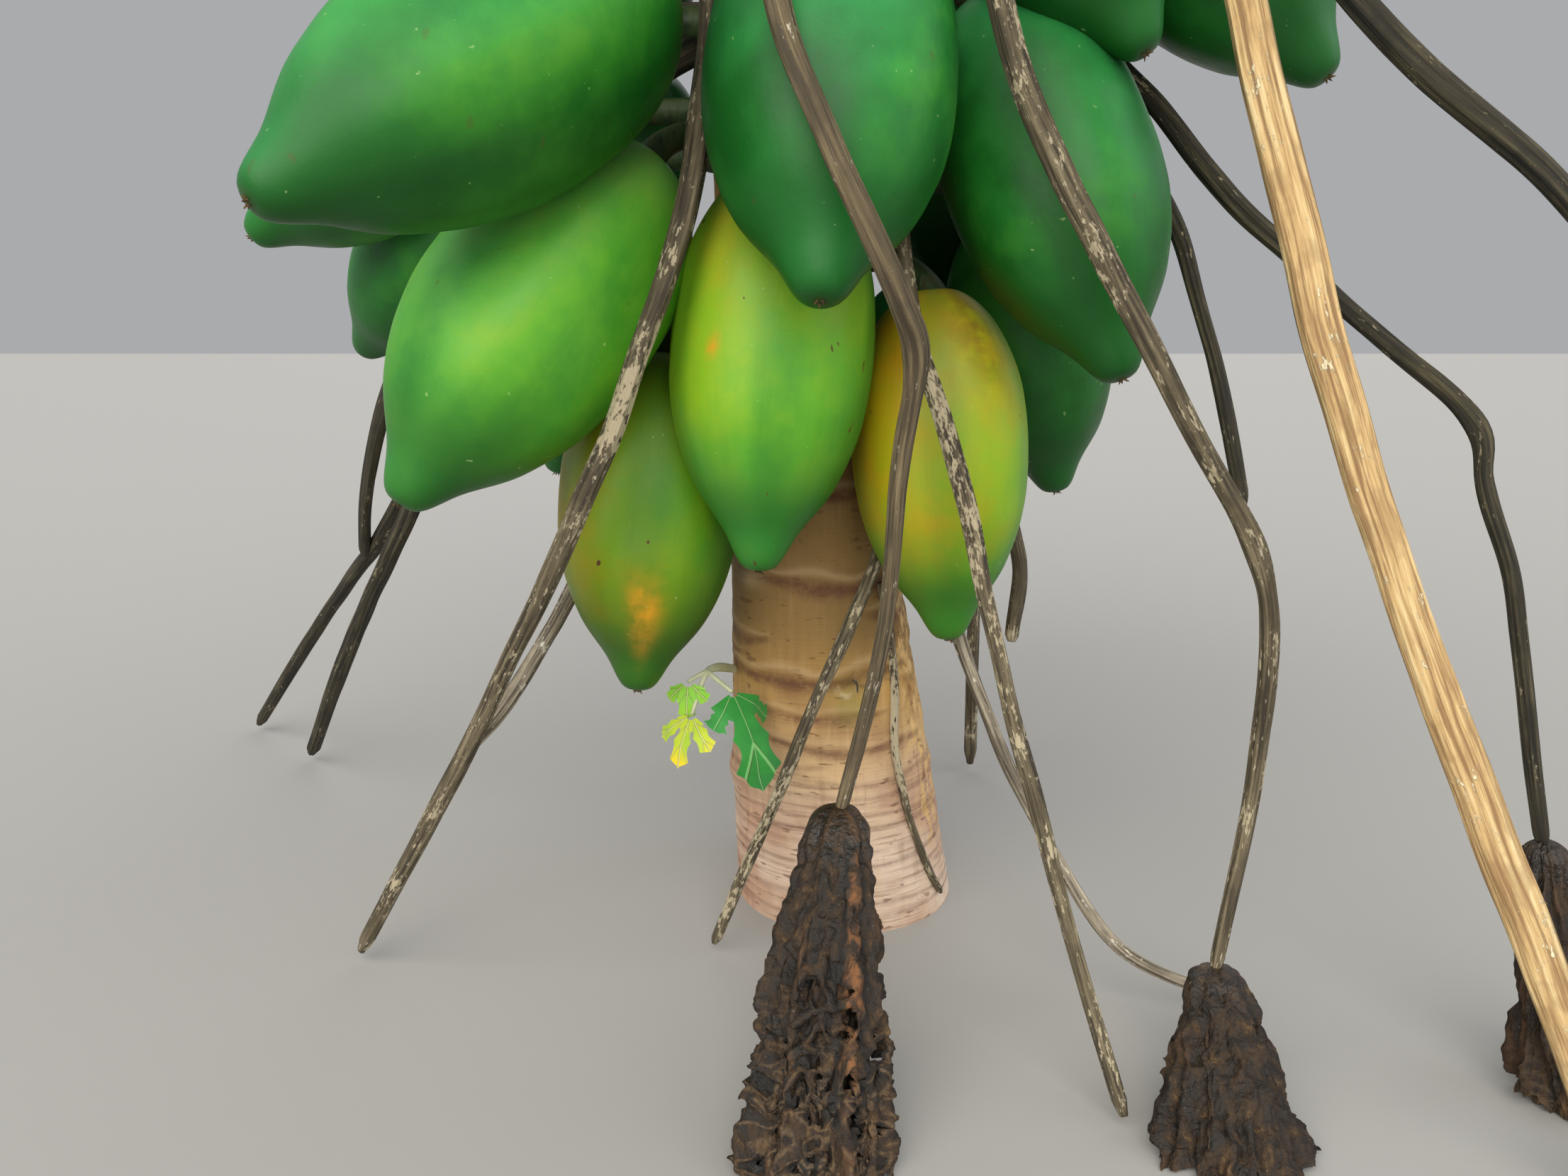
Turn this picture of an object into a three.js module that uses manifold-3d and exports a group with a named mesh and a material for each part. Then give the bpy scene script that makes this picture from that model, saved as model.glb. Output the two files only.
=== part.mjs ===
// A dwarf papaya tree, whole, from the flat cut at ground level to the top of its crown.
// Millimetres, +Z up. The origin is the middle of the flat cut under the trunk.
// -Y is the front: the side that the lowest and ripest fruits hang on.
import * as THREE from 'three';
import { mergeVertices } from 'three/addons/utils/BufferGeometryUtils.js';
import Module from 'manifold-3d';

const wasm = await Module();
wasm.setup();

// Driving dimensions of the trunk.
const TRUNK_HEIGHT = 1500;
const TRUNK_RADIUS = 54;
const TRUNK_TAPER = 0.016;
const FLARE_RADIUS = 33.5;
const FLARE_HEIGHT = 330;
const FLARE_POWER = 1.3;
const LEAN_LEFT = 0.1;
const LEAN_FRONT = 0.07;
const LEAN_EASE = 0.2;
const TRUNK_SIDES = 24;
const TRUNK_ROWS = 13;

// What touches is kept this far apart.
const GAP = 0.3;
const MERGE = 1e-3;

// A papaya's outline, as shares of its length and of half its breadth, from stem end to tip.
const FRUIT_OUTLINE = [
  [0, 0], [0.015, 0.34], [0.1, 0.68], [0.26, 0.94], [0.45, 1], [0.62, 0.93],
  [0.78, 0.7], [0.9, 0.37], [0.985, 0.17], [1, 0],
];
const YOUNG_OUTLINE = [[0, 0], [0.03, 0.4], [0.25, 0.93], [0.5, 1], [0.75, 0.66], [0.92, 0.27], [1, 0]];
const FRUIT_RIDGES = 5;
const FRUIT_SIDES = 10;
const RIDGE_RISE = 0.025;
const STEM_RADIUS = 9;
const STEM_RISE = 18;

// How far the root of anything that grows from the trunk starts inside the trunk's skin.
const ROOT_DEPTH = 6;

// Colours, roughness and metalness of the finishes.
const finish = (colour, roughness) =>
  new THREE.MeshStandardMaterial({ color: colour, roughness, metalness: 0 });
const FINISH = {
  bark: finish(0xb08a63, 0.85),
  fruit_green: finish(0x2f8f45, 0.45),
  fruit_turning: finish(0x8aa526, 0.45),
  fruit_ripe: finish(0xc9a71e, 0.45),
  leaf_green: finish(0x4f9b3a, 0.6),
  leaf_yellow: finish(0xe8b90f, 0.6),
  dead_stalk: finish(0x6b594b, 0.9),
  straw_stalk: finish(0xc99f5f, 0.8),
  dead_leaf: finish(0x4a3626, 0.95),
  sprout: finish(0x3f8f37, 0.6),
};

const radians = THREE.MathUtils.degToRad;
const wave = (n) => Math.sin(n * 12.9898) * 0.5 + Math.sin(n * 4.137 + 1.3) * 0.5;

// The middle of the trunk at a height: it leans to the left and to the front, and rights itself.
function trunkCentre(z) {
  const eased = z * (1 - (LEAN_EASE * z) / 1000);
  return new THREE.Vector3(-LEAN_LEFT * eased, -LEAN_FRONT * eased, z);
}

function trunkRadius(z) {
  const flare = FLARE_RADIUS * Math.exp(-Math.pow(Math.max(z, 0) / FLARE_HEIGHT, FLARE_POWER));
  return TRUNK_RADIUS - TRUNK_TAPER * z + flare;
}

// A direction from a compass bearing, with 0 along +X, and a dip below the horizontal.
function heading(bearing, dip = 0) {
  const flat = Math.cos(radians(dip));
  return new THREE.Vector3(
    flat * Math.cos(radians(bearing)),
    flat * Math.sin(radians(bearing)),
    -Math.sin(radians(dip)),
  );
}

function onTrunk(bearing, height, reach = 0) {
  return trunkCentre(height).addScaledVector(heading(bearing), trunkRadius(height) + reach);
}

// A closed three.js geometry as a solid that can be joined and cut, and back again.
function solidOf(geometry) {
  const bare = geometry.clone();
  bare.deleteAttribute('normal');
  bare.deleteAttribute('uv');
  const merged = mergeVertices(bare, MERGE);
  return new wasm.Manifold(new wasm.Mesh({
    numProp: 3,
    vertProperties: Float32Array.from(merged.attributes.position.array),
    triVerts: Uint32Array.from(merged.index.array),
  }));
}

function geometryOf(solid) {
  const mesh = solid.getMesh();
  const geometry = new THREE.BufferGeometry();
  geometry.setAttribute('position', new THREE.BufferAttribute(mesh.vertProperties, 3));
  geometry.setIndex(new THREE.BufferAttribute(mesh.triVerts, 1));
  geometry.computeVertexNormals();
  return geometry;
}

// Closed skin over a stack of rings that all have the same number of points.
function loft(rings) {
  const sides = rings[0].length;
  const points = rings.flat();
  const faces = [];
  for (let row = 0; row < rings.length - 1; row += 1) {
    for (let side = 0; side < sides; side += 1) {
      const a = row * sides + side;
      const b = row * sides + ((side + 1) % sides);
      faces.push(a, b, b + sides, a, b + sides, a + sides);
    }
  }
  const first = rings[0].reduce((sum, p) => sum.add(p), new THREE.Vector3()).divideScalar(sides);
  const last = rings[rings.length - 1]
    .reduce((sum, p) => sum.add(p), new THREE.Vector3()).divideScalar(sides);
  const top = (rings.length - 1) * sides;
  for (let side = 0; side < sides; side += 1) {
    const next = (side + 1) % sides;
    faces.push(points.length, next, side);
    faces.push(points.length + 1, top + side, top + next);
  }
  const geometry = new THREE.BufferGeometry().setFromPoints([...points, first, last]);
  geometry.setIndex(faces);
  return geometry;
}

// A tapering round limb along a curve. grow makes it fatter and longer, for cutting others clear.
function limb(curve, rootRadius, tipRadius, { sides = 6, steps = 6, flat = 1, grow = 0 } = {}) {
  const frames = curve.computeFrenetFrames(steps);
  const rings = [];
  for (let step = 0; step <= steps; step += 1) {
    const along = step / steps;
    const radius = THREE.MathUtils.lerp(rootRadius, tipRadius, along) + grow;
    const centre = curve.getPointAt(along);
    if (step === 0) centre.addScaledVector(frames.tangents[0], -grow);
    if (step === steps) centre.addScaledVector(frames.tangents[steps], grow);
    const ring = [];
    for (let side = 0; side < sides; side += 1) {
      const turn = (side / sides) * Math.PI * 2;
      ring.push(centre.clone()
        .addScaledVector(frames.normals[step], Math.cos(turn) * radius * flat)
        .addScaledVector(frames.binormals[step], Math.sin(turn) * radius));
    }
    rings.push(ring);
  }
  return solidOf(loft(rings));
}

// The trunk: one lathe turning, bent along its lean.
function trunkSolid(grow = 0) {
  const outline = [new THREE.Vector2(0, -grow)];
  for (let row = 0; row <= TRUNK_ROWS; row += 1) {
    const height = TRUNK_HEIGHT * Math.pow(row / TRUNK_ROWS, 1.35);
    outline.push(new THREE.Vector2(trunkRadius(height) + grow, row === 0 ? -grow : height));
  }
  const crownRadius = trunkRadius(TRUNK_HEIGHT);
  outline.push(new THREE.Vector2(crownRadius * 0.6 + grow, TRUNK_HEIGHT + crownRadius * 0.6));
  outline.push(new THREE.Vector2(0, TRUNK_HEIGHT + crownRadius * 0.8 + grow));
  const geometry = new THREE.LatheGeometry(outline, TRUNK_SIDES);
  geometry.rotateX(Math.PI / 2);
  const places = geometry.attributes.position;
  for (let i = 0; i < places.count; i += 1) {
    const middle = trunkCentre(places.getZ(i));
    places.setX(i, places.getX(i) + middle.x);
    places.setY(i, places.getY(i) + middle.y);
  }
  return solidOf(geometry);
}

// One fruit's body, from its stem end at `from` along `axis`, with five soft ridges.
function fruitBody(from, axis, length, breadth, options) {
  const { outline = FRUIT_OUTLINE, sides = FRUIT_SIDES, grow = 0 } = options;
  const profile = outline.map(([along, half], i) => new THREE.Vector2(
    half === 0 ? 0 : (half * breadth) / 2 + grow,
    along * length + (i === 0 ? -grow : 0) + (i === outline.length - 1 ? grow : 0),
  ));
  const geometry = new THREE.LatheGeometry(profile, sides);
  const places = geometry.attributes.position;
  for (let i = 0; i < places.count; i += 1) {
    const turn = Math.atan2(places.getX(i), places.getZ(i));
    const swell = 1 + RIDGE_RISE * Math.cos(FRUIT_RIDGES * turn);
    places.setX(i, places.getX(i) * swell);
    places.setZ(i, places.getZ(i) * swell);
  }
  const turned = new THREE.Quaternion().setFromUnitVectors(new THREE.Vector3(0, 1, 0), axis);
  geometry.applyQuaternion(turned);
  geometry.translate(from.x, from.y, from.z);
  return solidOf(geometry);
}

// A fruit with its short stem, which bends out of the trunk and down into the fruit.
function fruitSolid(spec, grow = 0) {
  const from = onTrunk(spec.bearing, spec.height, spec.reach);
  const axis = heading(spec.heading, spec.dip);
  const body = fruitBody(from, axis, spec.length, spec.breadth, { grow });
  const root = onTrunk(spec.bearing, spec.height + STEM_RISE, -ROOT_DEPTH);
  const bend = onTrunk(spec.bearing, spec.height + STEM_RISE * 1.6, spec.reach * 0.75);
  const end = from.clone().addScaledVector(axis, spec.length * 0.08);
  const stem = limb(new THREE.QuadraticBezierCurve3(root, bend, end), STEM_RADIUS, STEM_RADIUS + 2, {
    sides: 5, steps: 2, grow,
  });
  return body.add(stem);
}

// The fruits that the front shows, lowest tier first. Bearings, headings and dips in degrees.
// bearing, reach and height place the stem end round the trunk; heading, dip, length and
// breadth are the body's own.
const fruit = (name, tone, bearing, reach, height, headingTo, dip, length, breadth) =>
  ({ name, tone, bearing, reach, height, heading: headingTo, dip, length, breadth });
const FRONT_FRUITS = [
  fruit('fruit_low_front', 'fruit_turning', -90, 49, 543, -113, 80, 248, 128),
  fruit('fruit_low_left', 'fruit_turning', -151, 52, 431, -115, 80, 232, 126),
  fruit('fruit_low_right', 'fruit_ripe', -40, 64, 472, -51, 84, 232, 118),
  fruit('fruit_mid_front', 'fruit_green', -68, 66, 681, -96, 59, 256, 142),
  fruit('fruit_mid_left', 'fruit_green', -134, 69, 549, -148, 50, 264, 142),
  fruit('fruit_mid_right', 'fruit_green', -24, 100, 645, -51, 63, 255, 130),
  fruit('fruit_high_left', 'fruit_green', -118, 95, 638, -137, 29, 272, 136),
  fruit('fruit_high_right', 'fruit_green', -24, 92, 785, -38, 56, 224, 124),
  fruit('fruit_outer_right', 'fruit_green', -1, 165, 772, -33, 48, 240, 124),
  fruit('fruit_low_far_right', 'fruit_green', 11, 110, 530, -9, 77, 210, 118),
  fruit('fruit_mid_far_left', 'fruit_green', 170, 140, 573, 156, 42, 219, 112),
  fruit('fruit_low_far_left', 'fruit_green', 157, 92, 545, 161, 76, 218, 106),
  fruit('fruit_outer_left', 'fruit_green', 178, 138, 628, -170, 35, 212, 112),
];

// The tiers carry on round the back and up the trunk.
const BACK_TIERS = [
  {
    name: 'fruit_low_back', height: 480, reach: 66, dip: 80, length: 215, breadth: 106,
    bearings: [42, 82, 122],
  },
  {
    name: 'fruit_mid_back', height: 640, reach: 100, dip: 62, length: 245, breadth: 130,
    bearings: [40, 85, 130],
  },
  {
    name: 'fruit_high_back', height: 800, reach: 95, dip: 52, length: 235, breadth: 126,
    bearings: [30, 78, 124, 168],
  },
];

// Young fruits above them: each cluster hangs on one stem that forks.
const YOUNG_TIERS = [
  {
    name: 'young_fruits_low', height: 945, turn: -125, reach: 52, dip: 52,
    fruits: 2, length: 168, breadth: 90, spread: 44, sides: 8,
  },
  {
    name: 'young_fruits_high', height: 1060, turn: -65, reach: 34, dip: 46,
    fruits: 3, length: 108, breadth: 58, spread: 36, sides: 6,
  },
];
const CLUSTERS = 3;
const FORK_RADIUS = 8;

// Leaves: they stand in a spiral, the lowest drooping and yellow, the highest nearly upright.
const LEAF_COUNT = 14;
const YELLOW_LEAVES = 5;
const LEAF_TURN = 137.5;
const LEAF_START = -35;
const LEAF_ROOTS = [1170, 1440];
const LEAF_RISE = [2, 66];
const LEAF_HANG = [74, 18];
const PETIOLE_LENGTH = [600, 430];
const PETIOLE_SAG = [150, 20];
const PETIOLE_RADIUS = [13, 7];
const BLADE_SPAN = [305, 235];
const BLADE_THICKNESS = 6;
const BLADE_ARCH = 0.22;

// A blade's lobes, from the middle one out: each has a tip, a shoulder on both sides of it,
// and a notch to the next.
const LOBE_LENGTHS = [1, 0.95, 0.84, 0.64];
const LOBE_STEP = 48;
const LOBE_SHOULDER = { share: 0.68, turn: 15 };
const NOTCH_SHARE = 0.32;
const INNER_SHARE = 0.5;
const STALK_SEAT = 0.11;
const FULL_LEAF = { sideLobes: 3, shoulderedLobes: 2, rings: [0, INNER_SHARE, 1] };
const SMALL_LEAF = { sideLobes: 2, shoulderedLobes: -1, rings: [0, 1] };
const SPROUT_LEAF = { sideLobes: 1, shoulderedLobes: 1, rings: [0, 1] };

// The young leaves round the growing tip.
const YOUNG_LEAVES = 4;
const BUD = { height: 75, radii: [20, 7], leafStart: 30 };
const YOUNG_SHRINK = 0.13;
const YOUNG_LEAF = { length: 235, rise: 72, span: 115, hang: -48, radius: 6, thickness: 3 };

// Dead leaf stalks that hang from between the fruits. Each leaves the trunk at a bearing and a
// height, has a radius at its root and one at its tip, and runs through places in millimetres.
const at = (x, y, z) => new THREE.Vector3(x, y, z);
const stalk = (bearing, height, radii, route) =>
  ({ bearing, height, radii, route: route.map((place) => at(...place)) });
const STALKS = {
  stalk_front: [
    stalk(-88, 960, [9, 6.8], [
      [-66, -190, 850], [-52, -284, 605], [-27, -306, 535], [8, -290, 465], [19, -277, 438],
    ]),
  ],
  stalk_right: [
    stalk(-48, 975, [10, 6.3], [
      [40, -170, 830], [64, -228, 612], [94, -236, 533], [138, -240, 458], [180, -242, 388],
      [216, -242, 328],
    ]),
  ],
  stalk_far_right: [
    stalk(4, 700, [8, 5.2], [
      [110, -40, 664], [186, -72, 598], [232, -120, 526], [285, -178, 458], [338, -236, 394],
    ]),
    stalk(4, 700, [7, 4.5], [[110, -40, 655], [196, -76, 538], [230, -108, 436], [252, -130, 335]]),
  ],
  stalk_straw: [
    stalk(-60, 1005, [9, 11], [
      [50, -180, 880], [125, -250, 735], [170, -282, 602], [208, -322, 447], [266, -342, 288],
      [332, -360, 138], [388, -372, 8],
    ]),
  ],
  stalk_reaching: [
    stalk(-55, 885, [8.5, 6], [
      [84, -190, 815], [262, -200, 622], [362, -250, 512], [452, -292, 370], [500, -312, 185],
      [520, -320, 8],
    ]),
  ],
  stalk_left: [
    stalk(-108, 790, [8, 6.3], [
      [-92, -122, 700], [-94, -139, 614], [-101, -196, 533], [-136, -214, 420],
      [-183, -198, 320], [-258, -160, 177], [-355, -122, 8],
    ]),
    stalk(-178, 372, [6, 5.5], [
      [-134, -4, 350], [-188, -36, 290], [-214, -88, 238], [-246, -132, 188], [-262, -158, 174],
    ]),
  ],
  stalk_pale: [
    stalk(-62, 570, [6.3, 4.2], [
      [12, -112, 545], [24, -166, 480], [31, -192, 432], [50, -206, 372], [87, -230, 222],
      [119, -264, 105], [146, -304, 8],
    ]),
  ],
  stalk_thin: [
    stalk(-30, 318, [5.5, 4.6], [
      [17, -90, 300], [-4, -120, 252], [-24, -130, 208], [-76, -118, 70], [-100, -112, 8],
    ]),
  ],
  stalk_low_right: [
    stalk(-38, 300, [6, 4.5], [
      [62, -72, 262], [78, -98, 222], [106, -122, 152], [138, -160, 92], [180, -180, 40],
      [262, -196, 8],
    ]),
  ],
  stalks_behind_left: [
    stalk(150, 650, [9, 7], [
      [-155, 20, 640], [-240, 76, 566], [-318, 112, 428], [-392, 145, 292], [-520, 260, 150],
      [-640, 365, 8],
    ]),
    stalk(150, 645, [9, 7], [
      [-155, 8, 612], [-238, 64, 534], [-306, 94, 420], [-372, 106, 290], [-466, 186, 140],
      [-545, 272, 8],
    ]),
    stalk(150, 655, [9, 6], [
      [-158, 28, 662], [-246, 86, 602], [-334, 110, 486], [-388, 114, 380], [-418, 137, 300],
      [-436, 172, 240],
    ]),
  ],
  stalks_back: [
    stalk(54, 905, [10, 7], [
      [0, 48, 888], [64, 136, 790], [111, 201, 600], [135, 233, 380], [142, 244, 8],
    ]),
    stalk(54, 912, [10, 7], [
      [-12, 66, 925], [-8, 190, 866], [-59, 300, 640], [-85, 350, 330], [-88, 362, 8],
    ]),
  ],
};
const STALK_STEP = 78;
const STRAW_FLATNESS = 0.45;

// Three of them are broken at a kink, and their lower ends carry what is left of the leaf.
const BROKEN = {
  stalk_front_fallen: {
    radii: [6, 4.6],
    route: [at(19, -277, 437), at(15, -262, 388), at(10, -228, 275), at(-15, -212, 150)],
    leaf: { foot: at(-36, -345, 0), radii: [17, 48] },
  },
  stalk_right_fallen: {
    radii: [6, 4.8],
    route: [at(216, -242, 327), at(231, -240, 275), at(232, -238, 205), at(210, -255, 66)],
    leaf: { foot: at(202, -328, 0), radii: [14, 44] },
  },
  stalk_far_right_fallen: {
    radii: [5.2, 4.2],
    route: [
      at(338, -236, 393), at(343, -241, 366), at(360, -248, 312), at(388, -252, 190), at(396, -256, 150),
    ],
    leaf: { foot: at(424, -280, 0), radii: [12, 36] },
  },
};
const DEAD_LEAF_FOLDS = 5;
const DEAD_LEAF_SIDES = 10;
const DEAD_LEAF_ROWS = 5;
const FOLD_DEPTH = 0.24;
const CRUMPLE = 0.12;

// The side shoot low on the trunk.
const SPROUT = {
  root: { bearing: 190, height: 190 },
  radii: [4, 2.5],
  stems: [
    { route: [at(-104, -74, 205), at(-80, -96, 196)], span: 68, bearing: -25, hang: 66 },
    { route: [at(-104, -74, 205), at(-120, -84, 200)], span: 46, bearing: -140, hang: 62 },
  ],
  thickness: 2,
};

const trunk = trunkSolid();
const trunkClear = trunkSolid(GAP);
const ground = solidOf(new THREE.BoxGeometry(4000, 4000, 100).translate(0, 0, GAP - 50));

const tree = new THREE.Group();
const placed = [];

function overlaps(a, b) {
  return [0, 1, 2].every((i) => a.min[i] < b.max[i] && b.min[i] < a.max[i]);
}

// Cuts a piece clear of the ground, the trunk and what is already in its place.
function fitIn(make) {
  let solid = make(0).subtract(trunkClear).subtract(ground);
  for (const other of placed) {
    if (overlaps(solid.boundingBox(), other.boundingBox())) solid = solid.subtract(other);
  }
  placed.push(make(GAP));
  return solid.decompose().sort((a, b) => b.volume() - a.volume())[0];
}

function addNode(name, solid, material) {
  const mesh = new THREE.Mesh(geometryOf(solid), material);
  mesh.name = name;
  tree.add(mesh);
}

const between = ([low, high], share) => THREE.MathUtils.lerp(low, high, share);

// Young fruits of one cluster, with the forks of its stem joined in the trunk's side.
function clusterSolid(tier, bearing, grow = 0) {
  const pieces = [];
  for (let i = 0; i < tier.fruits; i += 1) {
    const off = i - (tier.fruits - 1) / 2;
    const turned = bearing + off * tier.spread;
    const height = tier.height - (tier.fruits > 2 && off === 0 ? tier.length * 0.35 : 0);
    const from = onTrunk(bearing + off * tier.spread * 0.8, height, tier.reach);
    const axis = heading(turned, tier.dip);
    pieces.push(fruitBody(from, axis, tier.length, tier.breadth, {
      outline: YOUNG_OUTLINE, sides: tier.sides, grow,
    }));
    const root = onTrunk(bearing, tier.height + STEM_RISE, -ROOT_DEPTH);
    const bend = onTrunk(turned, tier.height + STEM_RISE, tier.reach * 0.7);
    const end = from.clone().addScaledVector(axis, tier.length * 0.12);
    const fork = new THREE.QuadraticBezierCurve3(root, bend, end);
    pieces.push(limb(fork, FORK_RADIUS, FORK_RADIUS, { sides: 4, steps: 2, grow }));
  }
  return pieces.reduce((whole, piece) => whole.add(piece));
}

// A leaf blade round the end of its stalk: +X forward along the middle lobe, +Z its upper side.
function bladeGeometry({ span, thickness, sideLobes, shoulderedLobes, rings }, grow = 0) {
  const rim = [];
  for (let lobe = -sideLobes; lobe <= sideLobes; lobe += 1) {
    const reach = LOBE_LENGTHS[Math.abs(lobe)];
    const middle = lobe * LOBE_STEP;
    const shouldered = Math.abs(lobe) <= shoulderedLobes;
    rim.push([middle - LOBE_STEP / 2, NOTCH_SHARE]);
    if (shouldered) rim.push([middle - LOBE_SHOULDER.turn, reach * LOBE_SHOULDER.share]);
    rim.push([middle, reach]);
    if (shouldered) rim.push([middle + LOBE_SHOULDER.turn, reach * LOBE_SHOULDER.share]);
  }
  rim.push([(sideLobes + 0.5) * LOBE_STEP, NOTCH_SHARE]);
  if (sideLobes < 3) rim.push([180, NOTCH_SHARE / 3]);
  const count = rim.length;
  const points = [];
  const faces = [];
  for (const side of [1, -1]) {
    const start = points.length;
    const lift = (radius) => (-BLADE_ARCH * radius * radius) / span + side * (thickness / 2 + grow);
    points.push(at(0, 0, lift(0)));
    for (const share of rings.slice(1)) {
      for (const [turn, reach] of rim) {
        const radius = reach * share * (span + grow);
        const angle = radians(turn);
        points.push(at(radius * Math.cos(angle), radius * Math.sin(angle), lift(radius)));
      }
    }
    const face = (a, b, c) => (side > 0 ? faces.push(a, b, c) : faces.push(a, c, b));
    for (let i = 0; i < count; i += 1) {
      const next = (i + 1) % count;
      face(start, start + 1 + i, start + 1 + next);
      for (let ring = 1; ring < rings.length - 1; ring += 1) {
        const [inner, outer] = [start + 1 + (ring - 1) * count, start + 1 + ring * count];
        face(inner + i, outer + i, outer + next);
        face(inner + i, outer + next, inner + next);
      }
    }
  }
  const under = points.length / 2;
  for (let i = 0; i < count; i += 1) {
    const rimStart = under - count;
    const [top, topNext] = [rimStart + i, rimStart + ((i + 1) % count)];
    faces.push(top, top + under, topNext + under, top, topNext + under, topNext);
  }
  const geometry = new THREE.BufferGeometry().setFromPoints(points);
  geometry.setIndex(faces);
  return geometry;
}

// The stalk meets the blade just behind the point that its lobes spread from.
function bladeSolid(end, bearing, hang, leaf, grow = 0) {
  const forward = heading(bearing, hang);
  const sideways = heading(bearing + 90);
  const upper = new THREE.Vector3().crossVectors(forward, sideways);
  const frame = new THREE.Matrix4().makeBasis(forward, sideways, upper)
    .setPosition(end.clone().addScaledVector(forward, leaf.span * STALK_SEAT));
  return solidOf(bladeGeometry(leaf, grow).applyMatrix4(frame));
}

// A leaf: its stalk rises out of the trunk and sags, and the blade hangs from the stalk's end.
function leafSolid(index, grow = 0) {
  const share = index / (LEAF_COUNT - 1);
  const bearing = LEAF_START + LEAF_TURN * index;
  const length = between(PETIOLE_LENGTH, share);
  const out = heading(bearing, -between(LEAF_RISE, share));
  const root = onTrunk(bearing, between(LEAF_ROOTS, share), -ROOT_DEPTH);
  const bend = root.clone().addScaledVector(out, length * 0.55);
  const end = root.clone().addScaledVector(out, length);
  end.z -= between(PETIOLE_SAG, share);
  const curve = new THREE.QuadraticBezierCurve3(root, bend, end);
  const petiole = limb(curve, ...PETIOLE_RADIUS, { sides: 5, steps: 5, grow });
  const blade = { ...FULL_LEAF, span: between(BLADE_SPAN, share), thickness: BLADE_THICKNESS };
  return petiole.add(bladeSolid(end, bearing, between(LEAF_HANG, share), blade, grow));
}

// The young leaves share one bud, which sits on the trunk's tip.
function youngLeavesSolid(grow = 0) {
  const tip = trunkCentre(TRUNK_HEIGHT);
  const bud = new THREE.LineCurve3(tip, at(tip.x, tip.y, TRUNK_HEIGHT + BUD.height));
  let whole = limb(bud, ...BUD.radii, { sides: 6, steps: 1, grow });
  for (let i = 0; i < YOUNG_LEAVES; i += 1) {
    const bearing = LEAF_START + LEAF_TURN * (LEAF_COUNT + i);
    const size = 1 - i * YOUNG_SHRINK;
    const from = at(tip.x, tip.y, TRUNK_HEIGHT + BUD.leafStart);
    const out = heading(bearing, -YOUNG_LEAF.rise);
    const end = from.clone().addScaledVector(out, YOUNG_LEAF.length * size);
    whole = whole.add(limb(new THREE.LineCurve3(from, end), YOUNG_LEAF.radius, YOUNG_LEAF.radius - 1.5, {
      sides: 4, steps: 1, grow,
    }));
    const blade = { ...SMALL_LEAF, span: YOUNG_LEAF.span * size, thickness: YOUNG_LEAF.thickness };
    whole = whole.add(bladeSolid(end, bearing, YOUNG_LEAF.hang, blade, grow));
  }
  return whole;
}

function routeCurve(points) {
  return new THREE.CatmullRomCurve3(points, false, 'centripetal');
}

function stalkSteps(curve) {
  return Math.max(4, Math.round(curve.getLength() / STALK_STEP));
}

function stalksSolid(stalks, flat, grow = 0) {
  return stalks.map(({ bearing, height, radii, route }) => {
    const curve = routeCurve([onTrunk(bearing, height, -ROOT_DEPTH), ...route]);
    return limb(curve, ...radii, { sides: 5, steps: stalkSteps(curve), flat, grow });
  }).reduce((whole, piece) => whole.add(piece));
}

// What is left of a dead leaf: a crumpled, folded mass that widens down to the ground.
function deadLeafSolid(top, { foot, radii }, grow = 0) {
  const rings = [];
  for (let row = 0; row <= DEAD_LEAF_ROWS; row += 1) {
    const along = row / DEAD_LEAF_ROWS;
    const centre = top.clone().lerp(foot, along);
    const radius = between(radii, Math.pow(along, 0.8));
    const ring = [];
    for (let side = 0; side < DEAD_LEAF_SIDES; side += 1) {
      const turn = (side / DEAD_LEAF_SIDES) * Math.PI * 2;
      const fold = 1 + FOLD_DEPTH * Math.cos(DEAD_LEAF_FOLDS * turn) + CRUMPLE * wave(row * 17 + side);
      const reach = radius * fold + grow;
      ring.push(at(centre.x - Math.cos(turn) * reach, centre.y + Math.sin(turn) * reach * 0.8, centre.z));
    }
    rings.push(ring);
  }
  return solidOf(loft(rings));
}

function brokenSolid({ radii, route, leaf }, grow = 0) {
  const curve = routeCurve(route);
  const drop = limb(curve, ...radii, { sides: 5, steps: stalkSteps(curve), grow });
  const end = route[route.length - 1].clone();
  end.z += leaf.radii[0] * 0.6;
  return drop.add(deadLeafSolid(end, leaf, grow));
}

function sproutSolid(grow = 0) {
  const root = onTrunk(SPROUT.root.bearing, SPROUT.root.height, -ROOT_DEPTH);
  return SPROUT.stems.map(({ route, span, bearing, hang }) => {
    const end = route[route.length - 1];
    const stem = limb(routeCurve([root, ...route]), ...SPROUT.radii, { sides: 4, steps: 4, grow });
    const blade = { ...SPROUT_LEAF, span, thickness: SPROUT.thickness };
    return stem.add(bladeSolid(end, bearing, hang, blade, grow));
  }).reduce((whole, piece) => whole.add(piece));
}

addNode('trunk', trunk, FINISH.bark);

const backFruits = BACK_TIERS.flatMap((tier) => tier.bearings.map((bearing, i) => ({
  ...tier, name: `${tier.name}_${i + 1}`, tone: 'fruit_green', bearing, heading: bearing,
})));
for (const spec of [...FRONT_FRUITS, ...backFruits]) {
  addNode(spec.name, fitIn((grow) => fruitSolid(spec, grow)), FINISH[spec.tone]);
}

for (const tier of YOUNG_TIERS) {
  for (let i = 0; i < CLUSTERS; i += 1) {
    const bearing = tier.turn + (360 / CLUSTERS) * i;
    addNode(`${tier.name}_${i + 1}`, fitIn((grow) => clusterSolid(tier, bearing, grow)), FINISH.fruit_green);
  }
}

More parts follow.
